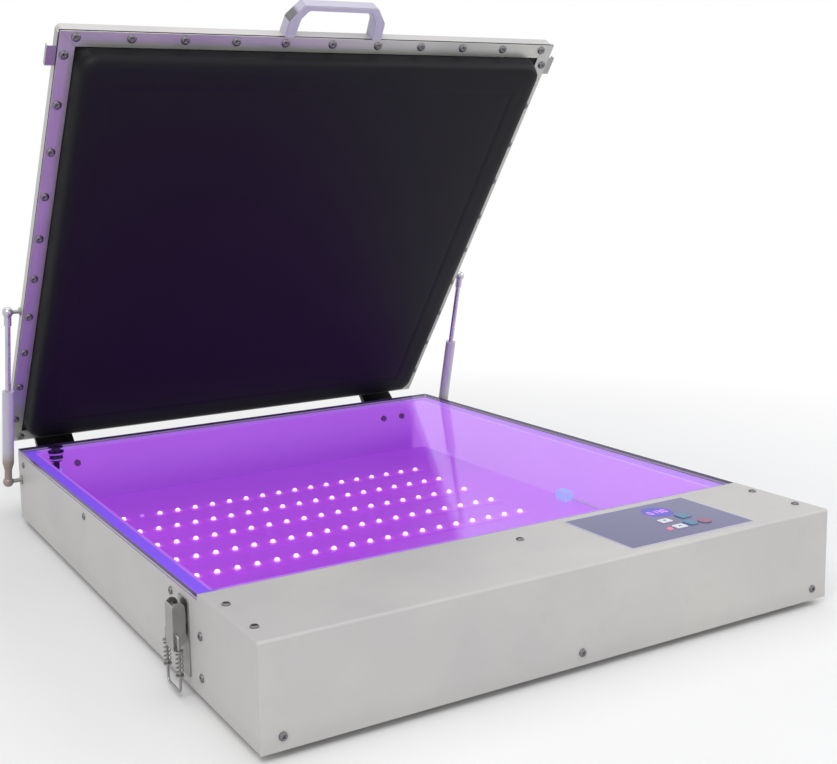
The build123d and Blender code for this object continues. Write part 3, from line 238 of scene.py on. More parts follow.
# --- Materials ------------------------------------------------------------------------
def powder_coat(name, chamber):
    """Textured powder coat. Inside the light chamber the array's violet light is painted on, as a purple
    base colour and a glow.
    """
    net = Net(name)
    x, y, z = net.place()
    cloud = net.noise(6.0, 3.0)
    fine = net.noise(1400.0, 2.0)
    grime = net.noise(45.0, 6.0, 0.65).ramp(0.55, 0.75)
    base = net.mix(cloud.ramp(0.35, 0.7), colour("#BDBBBA"), colour("#C7C5C1"))
    base = net.mix(grime * 0.15, base, colour("#A9A6A2"))
    # Darker towards the bottom.
    low = z.ramp(0.03, 0.008) * 0.2
    base = net.mix(low, base, colour("#A3A09C"))
    if not chamber:
        net.surface(
            Base_Color=base,
            Roughness=0.42 + cloud * 0.12,
            Normal=net.bump(fine, 0.12, 0.0003),
            Coat_Weight=0.08,
            Coat_Roughness=0.3,
        )
        return net.material
    # Painted light inside the chamber: the walls glow violet, lighter high up and on the right wall; the
    # seat glows pink, bluer on its left part.
    inside = abs(x).below(0.37425) * y.within(-0.2935, 0.43225)
    inside = inside * z.above(0.00875) * z.below(GLASS_TOP)
    wall = net.mix(z.ramp(0.112, 0.03), colour("#CC72F8"), colour("#9C3ACC"))
    wall = net.mix(x.above(0.345, 0.01) * 0.7, wall, colour("#D882FA"))
    seat = net.mix(x.above(-0.345, 0.01), colour("#8450FA"), colour("#C47CF8"))
    wall = net.mix(z.above(0.1117, 0.0002), wall, seat)
    lit = net.mix(cloud * 0.25, wall, colour("#9A40C8"))
    # Inside the chamber the purple base colour and the emission are painted light from the array.
    net.surface(
        Base_Color=net.mix(inside * 0.95, base, colour("#6A4A8C")),
        Roughness=0.42 + cloud * 0.12,
        Normal=net.bump(fine, 0.12, 0.0003),
        Coat_Weight=0.08,
        Coat_Roughness=0.3,
        Emission_Color=net.mix(inside, [0, 0, 0, 1], lit),
        Emission_Strength=0.9,
    )
    return net.material


def reflector(name, ground, glow_width, glow):
    """White sheet under the array, with the array's violet light painted on: a purple base colour, a
    mottled glow that darkens toward the rear, and a painted halo round each light.
    """
    net = Net(name)
    x, y, z = net.place()
    # One light in the rear row is drawn dark, without a halo.
    other_leds = 1.0 - darkened_led(x, y)
    # Painted halo of light round each light.
    halo = led_glow(net, x, y, glow_width) * other_leds
    near = led_glow(net, x, y, glow_width * 0.45) * other_leds
    patch = net.noise(9.0, 2.0)
    wash = net.mix(patch, colour(ground[0]), colour(ground[1]))
    # Painted shade: the glow darkens toward the rear.
    wash = net.mix(y.ramp(0.2, 0.36), wash, colour("#9C3CCC"))
    tone = net.mix(halo * glow, wash, colour("#D83CF4"))
    tone = net.mix(near * glow, tone, colour("#FFC8FF"))
    # Purple base colour and glow: painted light from the array.
    net.surface(
        Base_Color=net.mix(patch, colour("#63447F"), colour("#6E4E8C")),
        Roughness=0.38 + patch * 0.1,
        Emission_Color=tone,
        Emission_Strength=0.9,
        Normal=net.bump(net.noise(160.0, 3.0), 0.08, 0.0004),
    )
    return net.material


def led_lens(name):
    """Lit dome, brightest at its heart."""
    net = Net(name)
    x, y, z = net.place()
    heart = led_glow(net, x, y, 0.004)
    lit = net.mix(heart, colour("#F79BFF"), colour("#FFF4FF"))
    net.surface(
        Base_Color=colour("#D9B8EE"),
        Roughness=0.2,
        # One light in the rear row is drawn dark.
        Emission_Color=net.mix(darkened_led(x, y), lit, colour("#6A2A94")),
        Emission_Strength=1.6,
    )
    return net.material


def clear_glass(name):
    """Float glass: clear faces, and edges that are dark above, with a painted highlight band below."""
    net = Net(name)
    x, y, z = net.place()
    edge = abs(x).above(0.3741) + y.below(-0.2913) + y.above(0.4321)
    edge = edge.math("ADD", 0.0, clamp=True)
    dark, violet, pale = colour("#1E1430"), colour("#33204A"), colour("#B9AEC8")
    smear = net.noise(4.0, 4.0, 0.6)
    clear = net.node("BsdfTransparent", Color=[0.93, 0.95, 0.97, 1.0])
    gloss = net.node("BsdfGlossy", Color=[1, 1, 1, 1], Roughness=0.03 + smear * 0.06)
    facing = net.node("LayerWeight", output="Facing", Blend=0.5)
    pane = net.node("MixShader", Fac=0.035 + facing**5.0 * 0.32)
    net.tree.links.new(clear.socket, pane.socket.node.inputs[1])
    net.tree.links.new(gloss.socket, pane.socket.node.inputs[2])
    rim = net.node(
        "BsdfPrincipled",
        # The pale band low on the edge is a painted highlight.
        Base_Color=net.mix(z.above(GLASS_TOP - 0.0038), pale, net.mix(smear, dark, violet)),
        Roughness=0.18,
    )
    both = net.node("MixShader", Fac=edge)
    net.tree.links.new(pane.socket, both.socket.node.inputs[1])
    net.tree.links.new(rim.socket, both.socket.node.inputs[2])
    net.shader(both)
    return net.material


def rubber(name, dark, light, roughness=0.5):
    net = Net(name)
    patch = net.noise(7.0, 4.0, 0.6)
    fine = net.noise(600.0, 3.0)
    dust = net.noise(30.0, 6.0, 0.7).ramp(0.6, 0.8)
    base = net.mix(patch, colour(dark), colour(light))
    net.surface(
        Base_Color=net.mix(dust * 0.12, base, colour("#5A5866")),
        Roughness=roughness + patch * 0.14,
        Normal=net.bump(fine, 0.15, 0.0003),
    )
    return net.material


def gasket(name):
    """Sponge strip that is black along its outer edge; inside it, the array's violet light is painted on
    as a purple base colour and a glow.
    """
    net = Net(name)
    x, y, z = net.place()
    patch = net.noise(60.0, 4.0, 0.6)
    outer = abs(x).above(0.3712) + y.below(-0.2885) + y.above(0.4290)
    outer = outer.math("ADD", 0.0, clamp=True)
    # Painted violet light on the inner part, bluer on the left.
    glow = net.mix(x.above(-0.345, 0.01), colour("#8450FA"), colour("#C47CF8"))
    glow = net.mix(patch * 0.2, glow, colour("#6A3CC8"))
    net.surface(
        Base_Color=net.mix(outer, colour("#5C4484"), colour("#100C16")),
        Roughness=0.6 + patch * 0.1,
        Emission_Color=net.mix(outer, glow, [0, 0, 0, 1]),
        Emission_Strength=0.82,
        Normal=net.bump(net.noise(500.0, 3.0), 0.15, 0.0003),
    )
    return net.material


def blanket_rubber(name):
    """Thin calendered sheet, near black, with a faint grain and some dust."""
    net = Net(name)
    x, along, out = net.lid_place()
    patch = net.noise(3.0, 4.0, 0.55)
    fine = net.noise(900.0, 2.0)
    dust = net.noise(240.0, 4.0, 0.75).ramp(0.62, 0.78)
    streak = net.noise(1.0, 4.0, 0.6, where=net.stretched(x * 3.0, along * 40.0, out * 10.0))
    base = net.mix(patch, colour("#06060C"), colour("#0C0C14"))
    base = net.mix(dust * 0.12, base, colour("#22223A"))
    net.surface(
        Base_Color=base,
        Roughness=0.42 + patch * 0.12 + streak * 0.06,
        IOR=1.3,
        Normal=net.bump(fine * 0.5 + streak, 0.06, 0.0006),
    )
    return net.material


def brushed(name, tone, other, axis, roughness=0.3):
    """Metal brushed along one row axis: "x", or "lid" for up the lid."""
    net = Net(name)
    x, along, out = net.lid_place()
    if axis == "x":
        where = net.stretched(x * 4.0, along * 900.0, out * 900.0)
    else:
        where = net.stretched(x * 900.0, along * 4.0, out * 900.0)
    grain = net.noise(1.0, 4.0, 0.6, where=where)
    patch = net.noise(12.0, 3.0)
    base = net.mix(grain, colour(tone), colour(other))
    net.surface(
        Base_Color=net.mix(patch.ramp(0.5, 0.8) * 0.3, base, colour("#8E8E96")),
        Metallic=0.85,
        Roughness=roughness + grain * 0.16,
        Normal=net.bump(grain, 0.1, 0.0002),
    )
    return net.material


def metal(name, tone, other, roughness, metallic=1.0, scale=60.0, spots=0.0):
    """Plated or bare metal with a mottled tone."""
    net = Net(name)
    patch = net.noise(scale, 5.0, 0.6)
    fine = net.noise(scale * 12.0, 2.0)
    base = net.mix(patch, colour(tone), colour(other))
    spotted = net.noise(scale * 3.0, 5.0, 0.7).ramp(0.62, 0.75)
    net.surface(
        Base_Color=net.mix(spotted * spots, base, colour("#5C544C")),
        Metallic=metallic,
        Roughness=roughness + patch * 0.15,
        Normal=net.bump(fine, 0.08, 0.0002),
    )
    return net.material


def plastic(name, tone, other, roughness, emission=None):
    """Moulded plastic or film with an emission where one is given: the display and its lights are lit
    from within; on the nylon parts it is a painted glow.
    """
    net = Net(name)
    patch = net.noise(18.0, 3.0)
    fine = net.noise(500.0, 2.0)
    settings = {}
    if emission:
        settings = {"Emission_Color": colour(emission[0]), "Emission_Strength": emission[1]}
    net.surface(
        Base_Color=net.mix(patch, colour(tone), colour(other)),
        Roughness=roughness + patch * 0.1,
        Normal=net.bump(fine, 0.08, 0.0003),
        **settings,
    )
    return net.material


def handle_plastic(name):
    """Light grey grip, darker on its sloping corners."""
    net = Net(name)
    x, along, out = net.lid_place()
    patch = net.noise(30.0, 3.0)
    fine = net.noise(1200.0, 2.0)
    corner = (abs(x) * 0.832 + along * 0.555).above(0.4748, 0.0004)
    bevel = corner * along.within(0.7458, 0.7735, 0.0006)
    light = net.mix(patch, colour("#B4B0C4"), colour("#C0BCCB"))
    base = net.mix(bevel, light, colour("#6B6A6E"))
    net.surface(Base_Color=base, Roughness=0.36 + patch * 0.1, Normal=net.bump(fine, 0.1, 0.0003))
    return net.material


def overlay_film(name):
    """Printed membrane film with a pale border line, and painted light that makes it lighter toward its
    rear right.
    """
    net = Net(name)
    x, y, z = net.place()
    cx, cy = 0.1745, FRONT + 0.071
    ax, ay = abs(x - cx), abs(y - cy)
    edge = (ax - 0.0935).math("MAXIMUM", ay - 0.058)
    line = edge.above(-0.0016, 0.0003)
    patch = net.noise(20.0, 3.0)
    base = net.mix(patch, colour("#4A4678"), colour("#545184"))
    # Painted light: lighter toward the rear right.
    fade = (x * 0.7 + y).ramp(FRONT + 0.11, FRONT + 0.26)
    base = net.mix(fade * 0.5, base, colour("#666490"))
    base = net.mix(line * 0.9, base, colour("#C9C6DC"))
    net.surface(
        Base_Color=base,
        Roughness=0.3 + patch * 0.08,
        Coat_Weight=0.25,
        Coat_Roughness=0.2,
        Normal=net.bump(net.noise(1800.0, 1.0), 0.05, 0.0002),
    )
    return net.material


def circuit_board(name):
    """Green board with a faint brick pattern for its traces."""
    net = Net(name)
    x, y, z = net.place()
    traces = net.node("TexBrick", Vector=net.stretched(x * 60.0, y * 60.0, z), Scale=4.0)
    patch = net.noise(90.0, 4.0)
    copper = net.mix(patch, colour("#0E4A2A"), colour("#146038"))
    net.surface(
        Base_Color=net.mix(traces * 0.35, copper, colour("#2F8A55")),
        Roughness=0.35 + patch * 0.1,
    )
    return net.material


def start_key(name):
    """Film over the start key, with a red ring and dot."""
    net = Net(name)
    x, y, z = net.place()
    dx, dy = x - 0.220, y - (FRONT + 0.044)
    span = (dx * dx + dy * dy).math("SQRT")
    red = span.within(0.0052, 0.0071, 0.0002) + span.below(0.0019, 0.0002)
    patch = net.noise(30.0, 3.0)
    base = net.mix(patch, colour("#6E6286"), colour("#7A6C8E"))
    net.surface(Base_Color=net.mix(red, base, colour("#C23348")), Roughness=0.34 + patch * 0.08)
    return net.material


def strut_tube(name):
    """Pale satin tube whose lower end is brownish: bare metal on the ball socket, with a painted
    reflection on the bottom of the tube.
    """
    net = Net(name)
    x, y, z = net.place()
    patch = net.noise(50.0, 4.0, 0.6)
    # Brownish lower end: the socket's bare metal, and a painted reflection on the tube's bottom.
    socket_and_reflection = z.ramp(0.121, 0.104)
    base = net.mix(patch, colour("#B4AEC0"), colour("#C6C2CE"))
    base = net.mix(socket_and_reflection, base, net.mix(patch, colour("#8E8078"), colour("#A2958E")))
    net.surface(
        Base_Color=base,
        Metallic=0.4,
        Roughness=0.3 + patch * 0.12,
        Normal=net.bump(net.noise(700.0, 2.0), 0.06, 0.0002),
    )
    return net.material


def port_metal(name):
    """Dark turned vacuum port with two painted violet highlight bands and a faint painted glow."""
    net = Net(name)
    x, y, z = net.place()
    patch = net.noise(120.0, 4.0)
    # Painted highlights: two bright violet bands.
    highlight_bands = z.within(0.1062, 0.1086, 0.0004) + z.within(0.0972, 0.0996, 0.0004)
    base = net.mix(patch, colour("#241A36"), colour("#3A2C50"))
    net.surface(
        Base_Color=net.mix(highlight_bands, base, colour("#C08CD8")),
        Metallic=0.7,
        Roughness=0.28 + patch * 0.1,
        # Painted glow, brighter on the highlight bands.
        Emission_Color=net.mix(highlight_bands, colour("#1A0A2C"), colour("#9A58C8")),
        Emission_Strength=0.4,
    )
    return net.material


made = {
    "powder_coat": powder_coat("powder_coat", True),
    "lid_coat": powder_coat("lid_coat", False),
    "reflector": reflector("reflector", ("#B03CDE", "#BA48E6"), 0.012, 0.6),
    "led_board": reflector("led_board", ("#B03CDE", "#BA48E6"), 0.011, 0.8),
    "led_lens": led_lens("led_lens"),
    "clear_glass": clear_glass("clear_glass"),
    "sponge_gasket": gasket("sponge_gasket"),
    "foot_rubber": rubber("foot_rubber", "#101012", "#1E1E22", roughness=0.65),
    "blanket_rubber": blanket_rubber("blanket_rubber"),
    "strip_end": brushed("strip_end", "#B2B2AE", "#CECEC9", "x"),
    "strip_side": brushed("strip_side", "#B2B2AE", "#CECEC9", "lid"),
    "zinc_steel": metal("zinc_steel", "#8E8C8C", "#B4B2B0", 0.28, spots=0.2),
    "screw_steel": metal("screw_steel", "#6E6C70", "#8C8A8C", 0.3),
    "black_steel": metal("black_steel", "#0C0C10", "#1A1A1E", 0.35, metallic=0.3),
    "strut_steel": strut_tube("strut_steel"),
    "rod_steel": metal("rod_steel", "#A8A8AE", "#D0D0D6", 0.12),
    "handle_plastic": handle_plastic("handle_plastic"),
    "overlay_film": overlay_film("overlay_film"),
    "display_film": plastic("display_film", "#0C0240", "#120450", 0.15, emission=("#3000D0", 0.6)),
    "white_key": plastic("white_key", "#D8D8E4", "#E6E6EE", 0.35),
    "teal_key": plastic("teal_key", "#42789A", "#4C86A8", 0.35),
    "red_key": start_key("red_key"),
    "circuit_board": circuit_board("circuit_board"),
    "driver_case": metal("driver_case", "#9A9A9E", "#B6B6BA", 0.35, scale=30.0),
    "pump_metal": metal("pump_metal", "#6E6E74", "#8E8E94", 0.4, scale=80.0),
    "hose_plastic": plastic("hose_plastic", "#B4BCC8", "#C8D0DA", 0.3),
    "port_metal": port_metal("port_metal"),
    # The nylon parts' pale blue emission is a painted glow.
    "nylon": plastic("nylon", "#A9C4F4", "#C4D8FA", 0.35, emission=("#6FA0FF", 0.35)),
    "cable_sheath": plastic("cable_sheath", "#C9B4E4", "#D8C8EC", 0.4),
    "black_plastic": plastic("black_plastic", "#111114", "#1C1C20", 0.42),
    "rocker_plastic": plastic("rocker_plastic", "#0E0E10", "#16161A", 0.22),
}
finish_of_node = {
    "lid_shell": "lid_coat",
    "front_cover": "lid_coat",
    "clamp_strips_end": "strip_end",
    "clamp_strips_side": "strip_side",
}
finish_of_slot = {"inner_coat": "powder_coat"}
slot_of = {part["node"]: part["material_slot"] for part in frame["record"]["subparts"]}
for name, node in nodes.items():
    wanted = finish_of_node.get(name) or finish_of_slot.get(slot_of[name], slot_of[name])
    for slot in node.material_slots:
        slot.material = made[wanted]


# --- Building pieces ------------------------------------------------------------------
def piece(name, mesh_or_bmesh, material, body, smooth=True):
    """Puts a mesh in the scene, with its material and body."""
    if isinstance(mesh_or_bmesh, bmesh.types.BMesh):
        mesh = bpy.data.meshes.new(name)
        mesh_or_bmesh.to_mesh(mesh)
        mesh_or_bmesh.free()
    else:
        mesh = mesh_or_bmesh
    mesh.materials.append(made[material])
    if smooth:
        mesh.shade_smooth()
    item = bpy.data.objects.new(name, mesh)
    bpy.context.collection.objects.link(item)
    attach(item, body)
    return item


def frame_at(point, normal, across):
    """A matrix with Z along the normal and X along the given direction."""
    z = Vector(normal).normalized()
    x = Vector(across).normalized()
    y = z.cross(x)
    turn = Matrix((x, y, z)).transposed().to_4x4()
    return Matrix.Translation(point) @ turn


def ring(mesh, centre, radius, height, steps):
    """A level ring of new points at a height over the centre."""
    angles = [2 * math.pi * i / steps for i in range(steps)]
    return [
        mesh.verts.new(centre + Vector((radius * math.cos(a), radius * math.sin(a), height)))
        for a in angles
    ]


def skin(mesh, loops):
    """Faces between each ring of points and the next."""
    for first, second in zip(loops, loops[1:]):
        for i in range(len(first)):
            j = (i + 1) % len(first)
            mesh.faces.new((first[i], first[j], second[j], second[i]))


def screw_heads(radius, height, places, turns):
    """Pan heads with a cross recess, all in one mesh."""
    one = bmesh.new()
    rings = (
        (radius, 0.0),
        (radius, height * 0.35),
        (radius * 0.93, height * 0.68),
        (radius * 0.74, height * 0.92),
        (radius * 0.5, height),
    )
    steps = 32
    loops = [ring(one, Vector(), r, h, steps) for r, h in rings]
    # The recess: a cross whose arms reach halfway out, with sloping walls.
    arm, half = 0.5, 0.13
    cross = []
    floor = []
    for i in range(steps):
        angle = 2 * math.pi * i / steps
        c, s = math.cos(angle), math.sin(angle)
        reach = min(
            arm / max(abs(c), abs(s)),
            half / max(min(abs(c), abs(s)), 1e-6),
        )
        reach = max(reach, half * 1.35)
        cross.append(one.verts.new((radius * reach * c, radius * reach * s, height * 0.985)))
        floor.append(one.verts.new((radius * reach * c * 0.72, radius * reach * s * 0.72, height * 0.35)))
    skin(one, loops + [cross, floor])
    one.faces.new(floor)
    bmesh.ops.recalc_face_normals(one, faces=one.faces)
    base = bpy.data.meshes.new("head")
    one.to_mesh(base)
    one.free()
    whole = bmesh.new()
    for matrix, turn in zip(places, turns):
        before = len(whole.verts)
        whole.from_mesh(base)
        whole.verts.ensure_lookup_table()
        bmesh.ops.transform(
            whole, matrix=matrix @ Matrix.Rotation(turn, 4, "Z"), verts=whole.verts[before:]
        )
    bpy.data.meshes.remove(base)
    return whole


def turns_for(places):
    """A turn for each screw, so that no two recesses point the same way."""
    return [0.9 * math.sin(7.1 * i + 1.3) for i in range(len(places))]


# --- Screws ---------------------------------------------------------------------------
pitch, inset = 0.0713, 0.0083
first_side = LID_LENGTH - 0.033
lid_places = [
    frame_at(on_lid(i * pitch, along), INWARD, (1, 0, 0))
    for i in range(-5, 6)
    for along in (inset, LID_LENGTH - inset)
]
lid_places += [
    frame_at(on_lid(side * (LID_WIDTH / 2 - inset), first_side - i * pitch), INWARD, (1, 0, 0))
    for i in range(10)
    for side in (-1, 1)
]
lid_heads = piece(
    "lid_screw_heads",
    screw_heads(0.006, 0.0026, lid_places, turns_for(lid_places)),
    "screw_steel",
    "lid",
)
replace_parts(lid_heads, "lid_screws")

wall_rows = [(FRONT + 0.214 + i * 0.309, 0.098) for i in range(3)]
wall_rows += [(SEAM - 0.006, 0.075), (SEAM - 0.006, 0.031)]
base_places = [
    frame_at((side * WALL_X, y, z), (side, 0, 0), (0, 1, 0))
    for side in (-1, 1)
    for y, z in wall_rows
]
base_places += [
    frame_at((x, FRONT + back, GLASS_TOP), (0, 0, 1), (1, 0, 0))
    for x, back in ((-0.361, 0.035), (-0.361, 0.1), (0.361, 0.035), (0.361, 0.1), (0, 0.105))
]
base_places += [frame_at((x, FRONT, 0.023), (0, -1, 0), (1, 0, 0)) for x in (-0.352, 0, 0.352)]
heads = screw_heads(0.0045, 0.0022, base_places, turns_for(base_places))
bolt_radius = 0.0055
for x in (-0.321, -0.283, 0.283, 0.321):
    bolt = bmesh.ops.create_cone(
        heads,
        cap_ends=True,
        segments=6,
        radius1=bolt_radius,
        radius2=bolt_radius,
        depth=0.004,
        matrix=frame_at((x, 0.4295, 0.082), (0, -1, 0), (1, 0, 0)),
    )
    edges = {e for v in bolt["verts"] for e in v.link_edges}
    bmesh.ops.bevel(heads, geom=list(edges), offset=0.0004, segments=2, affect="EDGES")
base_heads = piece("base_screw_heads", heads, "screw_steel", "base", smooth=False)
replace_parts(base_heads, "base_screws")

# --- Lenses of the lights, and the handle ---------------------------------------------
LENS_RINGS = ((0.0037, 0.0), (0.0037, 0.0014), (0.0033, 0.0027), (0.0023, 0.0036), (0.0009, 0.0040))
lenses = bmesh.new()
for i in range(LED_COLUMNS):
    for j in range(LED_ROWS):
        spot = Vector((LED_FIRST[0] + i * LED_PITCH[0], LED_FIRST[1] + j * LED_PITCH[1], BOARD_TOP))
        loops = [ring(lenses, spot, r, h, 14) for r, h in LENS_RINGS]
        skin(lenses, loops)
        lenses.faces.new(loops[0][::-1])
        lenses.faces.new(loops[-1])
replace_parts(piece("led_lenses", lenses, "led_lens", "base"), "led_emitters")

outside = [(0.0560, 0.0460), (0.073, 0.024), (0.075, 0.0)]
inside_edge = [(0.059, 0.0), (0.0565, 0.026), (0.0470, 0.0385)]
outline = [(-x, up) for x, up in reversed(outside)] + outside
outline += inside_edge + [(-x, up) for x, up in reversed(inside_edge)]
grip = bmesh.new()
levels = (-0.0200, -0.0010)
rings = [[grip.verts.new(on_lid(x, LID_LENGTH + up, out)) for x, up in outline] for out in levels]
grip.faces.new(rings[0])
grip.faces.new(rings[1][::-1])
for k in range(len(outline)):
    n = (k + 1) % len(outline)
    grip.faces.new((rings[0][k], rings[0][n], rings[1][n], rings[1][k]))
bmesh.ops.recalc_face_normals(grip, faces=grip.faces)


def is_free(edge):
    """Whether an edge of the grip is clear of the lid, or runs up one of its legs."""
    one, other = (v.co for v in edge.verts)
    if min((one - LID_ORIGIN).dot(ALONG), (other - LID_ORIGIN).dot(ALONG)) > LID_LENGTH + 0.001:
        return True
    same_side = one.x * other.x > 0
    return same_side and edge.calc_length() > 0.02 and abs((one - other).dot(ALONG)) > 0.01


free = [e for e in grip.edges if is_free(e)]
bmesh.ops.bevel(grip, geom=free, offset=0.0012, segments=2, affect="EDGES")
handle = piece("grip", grip, "handle_plastic", "lid", smooth=False)
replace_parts(handle, "lid_handle")

# --- The rubber blanket ---------------------------------------------------------------
SAG = (
    (0.0, -0.0015),
    (0.0006, -0.0012),
    (0.0016, 0.0100),
    (0.0028, 0.0192),
    (0.0075, 0.0240),
    (0.018, 0.0258),
    (0.042, 0.0268),
    (0.046, 0.0263),
    (0.050, 0.0267),
    (0.080, 0.0272),
    (0.140, 0.0270),
    (1.0, 0.0270),
)


def sag(inset):
    """How far the sheet hangs out at this distance from the clamp strips."""
    for (a, ha), (b, hb) in zip(SAG, SAG[1:]):
        if inset <= b:
            t = max(0.0, (inset - a) / (b - a))
            return ha + (hb - ha) * t * t * (3 - 2 * t)
    return SAG[-1][1]


def inset_at(x, along, corner=0.026):
    """Distance inwards from the clamp strips' inner edge, round in the corners."""
    half_x, half_y = LID_WIDTH / 2 - STRIP, LID_LENGTH / 2 - STRIP
    qx = abs(x) - half_x + corner
    qy = abs(along - LID_LENGTH / 2) - half_y + corner
    return corner - math.hypot(max(qx, 0.0), max(qy, 0.0)) - min(max(qx, qy), 0.0)


def lines(half, edge):
    """Coordinates that are close together near both edges."""
    near = [0.0, 0.0008, 0.0016, 0.0025, 0.004, 0.006, 0.009, 0.013, 0.018, 0.024, 0.031, 0.037]
    near += [0.042, 0.044, 0.046, 0.048, 0.051, 0.058, 0.068, 0.080]
    inner = half - edge
    low = [-inner + n for n in near]
    middle = list(np.linspace(-inner + 0.095, inner - 0.095, 70))
    return [-half] + low + middle + [-v for v in reversed(low)] + [half]


sheet = bmesh.new()
xs = lines(LID_WIDTH / 2 + 0.0003, STRIP + 0.0003)
ys = lines(LID_LENGTH / 2 + 0.0003, STRIP + 0.0003)
grid = []
for y in ys:
    row = []
    for x in xs:
        along = y + LID_LENGTH / 2
        inside = inset_at(x, along)
        height = -0.0015 if inside <= 0 else sag(inside)
        if inside > 0.03:
            ease = min(1.0, (inside - 0.03) / 0.05)
            height += ease * 0.0004 * math.sin(21 * x + 3 * math.sin(9 * along)) * math.sin(17 * along)
        row.append(sheet.verts.new(on_lid(x, along, height)))
    grid.append(row)
for first, second in zip(grid, grid[1:]):
    for i in range(len(xs) - 1):
        sheet.faces.new((first[i], first[i + 1], second[i + 1], second[i]))
bmesh.ops.recalc_face_normals(sheet, faces=sheet.faces)
if sum((f.normal for f in sheet.faces), Vector()).dot(INWARD) < 0:
    bmesh.ops.reverse_faces(sheet, faces=sheet.faces)
blanket = piece("blanket_sheet", sheet, "blanket_rubber", "lid")
thick = blanket.modifiers.new("thickness", "SOLIDIFY")
thick.thickness = 0.0019
thick.offset = -1.0
bpy.context.view_layer.update()
solid = bpy.data.meshes.new_from_object(blanket.evaluated_get(bpy.context.evaluated_depsgraph_get()))
blanket.modifiers.clear()
blanket.data = solid
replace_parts(blanket, "rubber_blanket")
tuple(on_lid(0, 0.362, -0.0035))
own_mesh(blanket)

# --- Digits, arrows and outlines on the panel -----------------------------------------
SEGMENTS = {
    "0": "abcdef",
    "1": "bc",
    "3": "abgcd",
}


def flat_piece(name, shapes, height, material):
    """Flat outlines on the panel, each a list of points in X and Y."""
    flat = bmesh.new()
    for points in shapes:
        low = [flat.verts.new((x, y, height)) for x, y in points]
        high = [flat.verts.new((x, y, height + 0.00008)) for x, y in points]
        flat.faces.new(low[::-1])
        flat.faces.new(high)
        for i in range(len(points)):
            j = (i + 1) % len(points)
            flat.faces.new((low[i], low[j], high[j], high[i]))
    bmesh.ops.recalc_face_normals(flat, faces=flat.faces)
    return piece(name, flat, material, "base", smooth=False)


def digit(number, x, y, width, height, stroke):
    """The bars of one seven-segment digit, its lower left corner at x and y."""
    w, h, s = width, height, stroke
    bars = {
        "a": (s * 0.3, h - s, w - s * 0.3, h),
        "d": (s * 0.3, 0, w - s * 0.3, s),
        "g": (s * 0.3, (h - s) / 2, w - s * 0.3, (h + s) / 2),
        "f": (0, h / 2 + s * 0.2, s, h - s * 0.5),
        "b": (w - s, h / 2 + s * 0.2, w, h - s * 0.5),
        "e": (0, s * 0.5, s, h / 2 - s * 0.2),
        "c": (w - s, s * 0.5, w, h / 2 - s * 0.2),
    }
    found = []
    for key in SEGMENTS[number]:
        x0, y0, x1, y1 = bars[key]
        found.append([(x + x0, y + y0), (x + x1, y + y0), (x + x1, y + y1), (x + x0, y + y1)])
    return found


made["digit_light"] = plastic("digit_light", "#B070FF", "#C08CFF", 0.3, emission=("#B070FF", 1.6))
made["led_red"] = plastic("led_red", "#E03050", "#FF5070", 0.25, emission=("#FF4060", 1.5))
window_x, window_y = 0.1985, FRONT + 0.098
shapes = []
for i, number in enumerate("0130"):
    shapes += digit(number, window_x - 0.0135 + i * 0.0072, window_y - 0.005, 0.0052, 0.010, 0.0011)
flat_piece("display_digits", shapes, PRINT_LEVEL, "digit_light")


def disc(x, y, radius, steps=28):
    """A round outline."""
    angles = [2 * math.pi * i / steps for i in range(steps)]
    return [(x + radius * math.cos(a), y + radius * math.sin(a)) for a in angles]


flat_piece("status_light", [disc(0.166, FRONT + 0.044, 0.0032)], PRINT_LEVEL, "led_red")


def arrow(x, y, size, point):
    """A triangle that points to the rear for 1 and to the front for -1."""
    foot = y - point * size * 0.6
    return [(x - size, foot), (x + size, foot), (x, y + point * size * 0.8)]


made["print_grey"] = plastic("print_grey", "#6C6A86", "#78769A", 0.4)
flat_piece(
    "key_arrows",
    [arrow(0.181, FRONT + 0.0675, 0.0028, -1), arrow(0.181, FRONT + 0.044, 0.0028, 1)],
    GLASS_TOP + 0.0014,
    "print_grey",
)

# --- Camera ---------------------------------------------------------------------------
azimuth, elevation, roll = math.radians(-27.89), math.radians(7.80), math.radians(-1.49)
forward = Vector(
    (
        -math.sin(azimuth) * math.cos(elevation),
        math.cos(azimuth) * math.cos(elevation),
        -math.sin(elevation),
    )
)
level = Vector((math.cos(azimuth), math.sin(azimuth), 0.0))
upward = level.cross(forward)
right = level * math.cos(roll) + upward * math.sin(roll)
above = right.cross(forward)
lens = bpy.data.cameras.new("camera")
lens.sensor_fit = "HORIZONTAL"
lens.sensor_width = 36.0
lens.lens = 50.19
lens.shift_x = 0.1223
lens.shift_y = -0.0681
lens.clip_start = 0.05
camera = bpy.data.objects.new("camera", lens)
turned = Matrix((right, above, -forward)).transposed().to_4x4()
camera.matrix_world = Matrix.Translation((-0.7862, -1.3387, 0.5381)) @ turned
bpy.context.collection.objects.link(camera)
bpy.context.scene.camera = camera

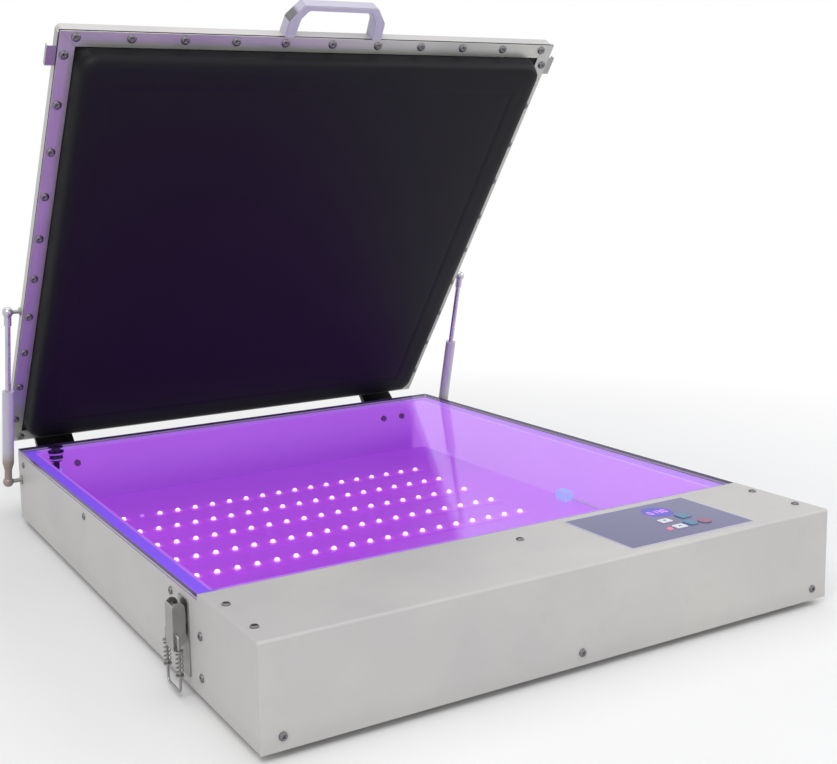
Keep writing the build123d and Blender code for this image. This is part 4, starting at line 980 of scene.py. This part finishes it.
# --- Floor and light ------------------------------------------------------------------
floor_net = Net("floor")
grain = floor_net.noise(3.0, 3.0)
floor_x, floor_y, floor_z = floor_net.place()
away = ((floor_x * floor_x + floor_y * floor_y).math("SQRT")).ramp(0.75, 1.5)
eye = floor_net.node("LightPath", output="Is Camera Ray")
mirror = floor_net.node("LightPath", output="Is Glossy Ray")
through = floor_net.node("LightPath", output="Is Transmission Ray")
seen_ray = (eye + mirror + through).math("ADD", 0.0, clamp=True)
paper = floor_net.node(
    "BsdfPrincipled",
    Base_Color=floor_net.mix(grain, colour("#EFEFEE"), colour("#F3F3F2")),
    Roughness=0.7,
)
plain = floor_net.node("Emission", Color=[1.0, 1.0, 1.0, 1.0], Strength=1.0)
faded = floor_net.node("MixShader", Fac=away * seen_ray)
floor_net.tree.links.new(paper.socket, faded.socket.node.inputs[1])
floor_net.tree.links.new(plain.socket, faded.socket.node.inputs[2])
floor_net.shader(faded)
made["floor"] = floor_net.material
ground = bmesh.new()
bmesh.ops.create_grid(ground, x_segments=1, y_segments=1, size=8.0)
floor_mesh = bpy.data.meshes.new("floor")
ground.to_mesh(floor_mesh)
ground.free()
floor_mesh.materials.append(made["floor"])
floor = bpy.data.objects.new("floor", floor_mesh)
bpy.context.collection.objects.link(floor)

world = bpy.data.worlds.new("world")
bpy.context.scene.world = world
world.use_nodes = True
sky = world.node_tree.nodes["Background"]
sky.inputs["Color"].default_value = [0.90, 0.91, 0.95, 1.0]
sky.inputs["Strength"].default_value = 0.62
white = world.node_tree.nodes.new("ShaderNodeBackground")
white.inputs["Color"].default_value = [1.0, 1.0, 1.0, 1.0]
white.inputs["Strength"].default_value = 1.0
path = world.node_tree.nodes.new("ShaderNodeLightPath")
mirrored = world.node_tree.nodes.new("ShaderNodeMath")
seen = world.node_tree.nodes.new("ShaderNodeMath")
mirrored.operation = seen.operation = "ADD"
mirrored.use_clamp = seen.use_clamp = True
either = world.node_tree.nodes.new("ShaderNodeMixShader")
world.node_tree.links.new(path.outputs["Is Glossy Ray"], mirrored.inputs[0])
world.node_tree.links.new(path.outputs["Is Transmission Ray"], mirrored.inputs[1])
world.node_tree.links.new(path.outputs["Is Camera Ray"], seen.inputs[0])
world.node_tree.links.new(mirrored.outputs[0], seen.inputs[1])
world.node_tree.links.new(seen.outputs[0], either.inputs[0])
world.node_tree.links.new(sky.outputs[0], either.inputs[1])
world.node_tree.links.new(white.outputs[0], either.inputs[2])
world.node_tree.links.new(either.outputs[0], world.node_tree.nodes["World Output"].inputs["Surface"])

LIT_POINT = (0, 0, 0.2)


def lamp(name, place, size, power, tint):
    """A rectangular area light aimed at the unit."""
    light = bpy.data.lights.new(name, "AREA")
    light.shape = "RECTANGLE"
    light.size, light.size_y = size
    light.energy = power
    light.color = tint
    item = bpy.data.objects.new(name, light)
    item.location = place
    item.rotation_euler = (Vector(LIT_POINT) - Vector(place)).to_track_quat("-Z", "Y").to_euler()
    bpy.context.collection.objects.link(item)


lamp("key", (-1.6, -1.8, 2.6), (2.2, 1.6), 42.0, (1.0, 0.98, 0.96))
lamp("fill", (2.4, -1.2, 1.8), (2.4, 1.8), 22.0, (0.95, 0.96, 1.0))
lamp("top", (0.0, 0.6, 2.8), (2.4, 2.0), 16.0, (1.0, 1.0, 1.0))

bpy.context.scene.view_settings.view_transform = "Standard"
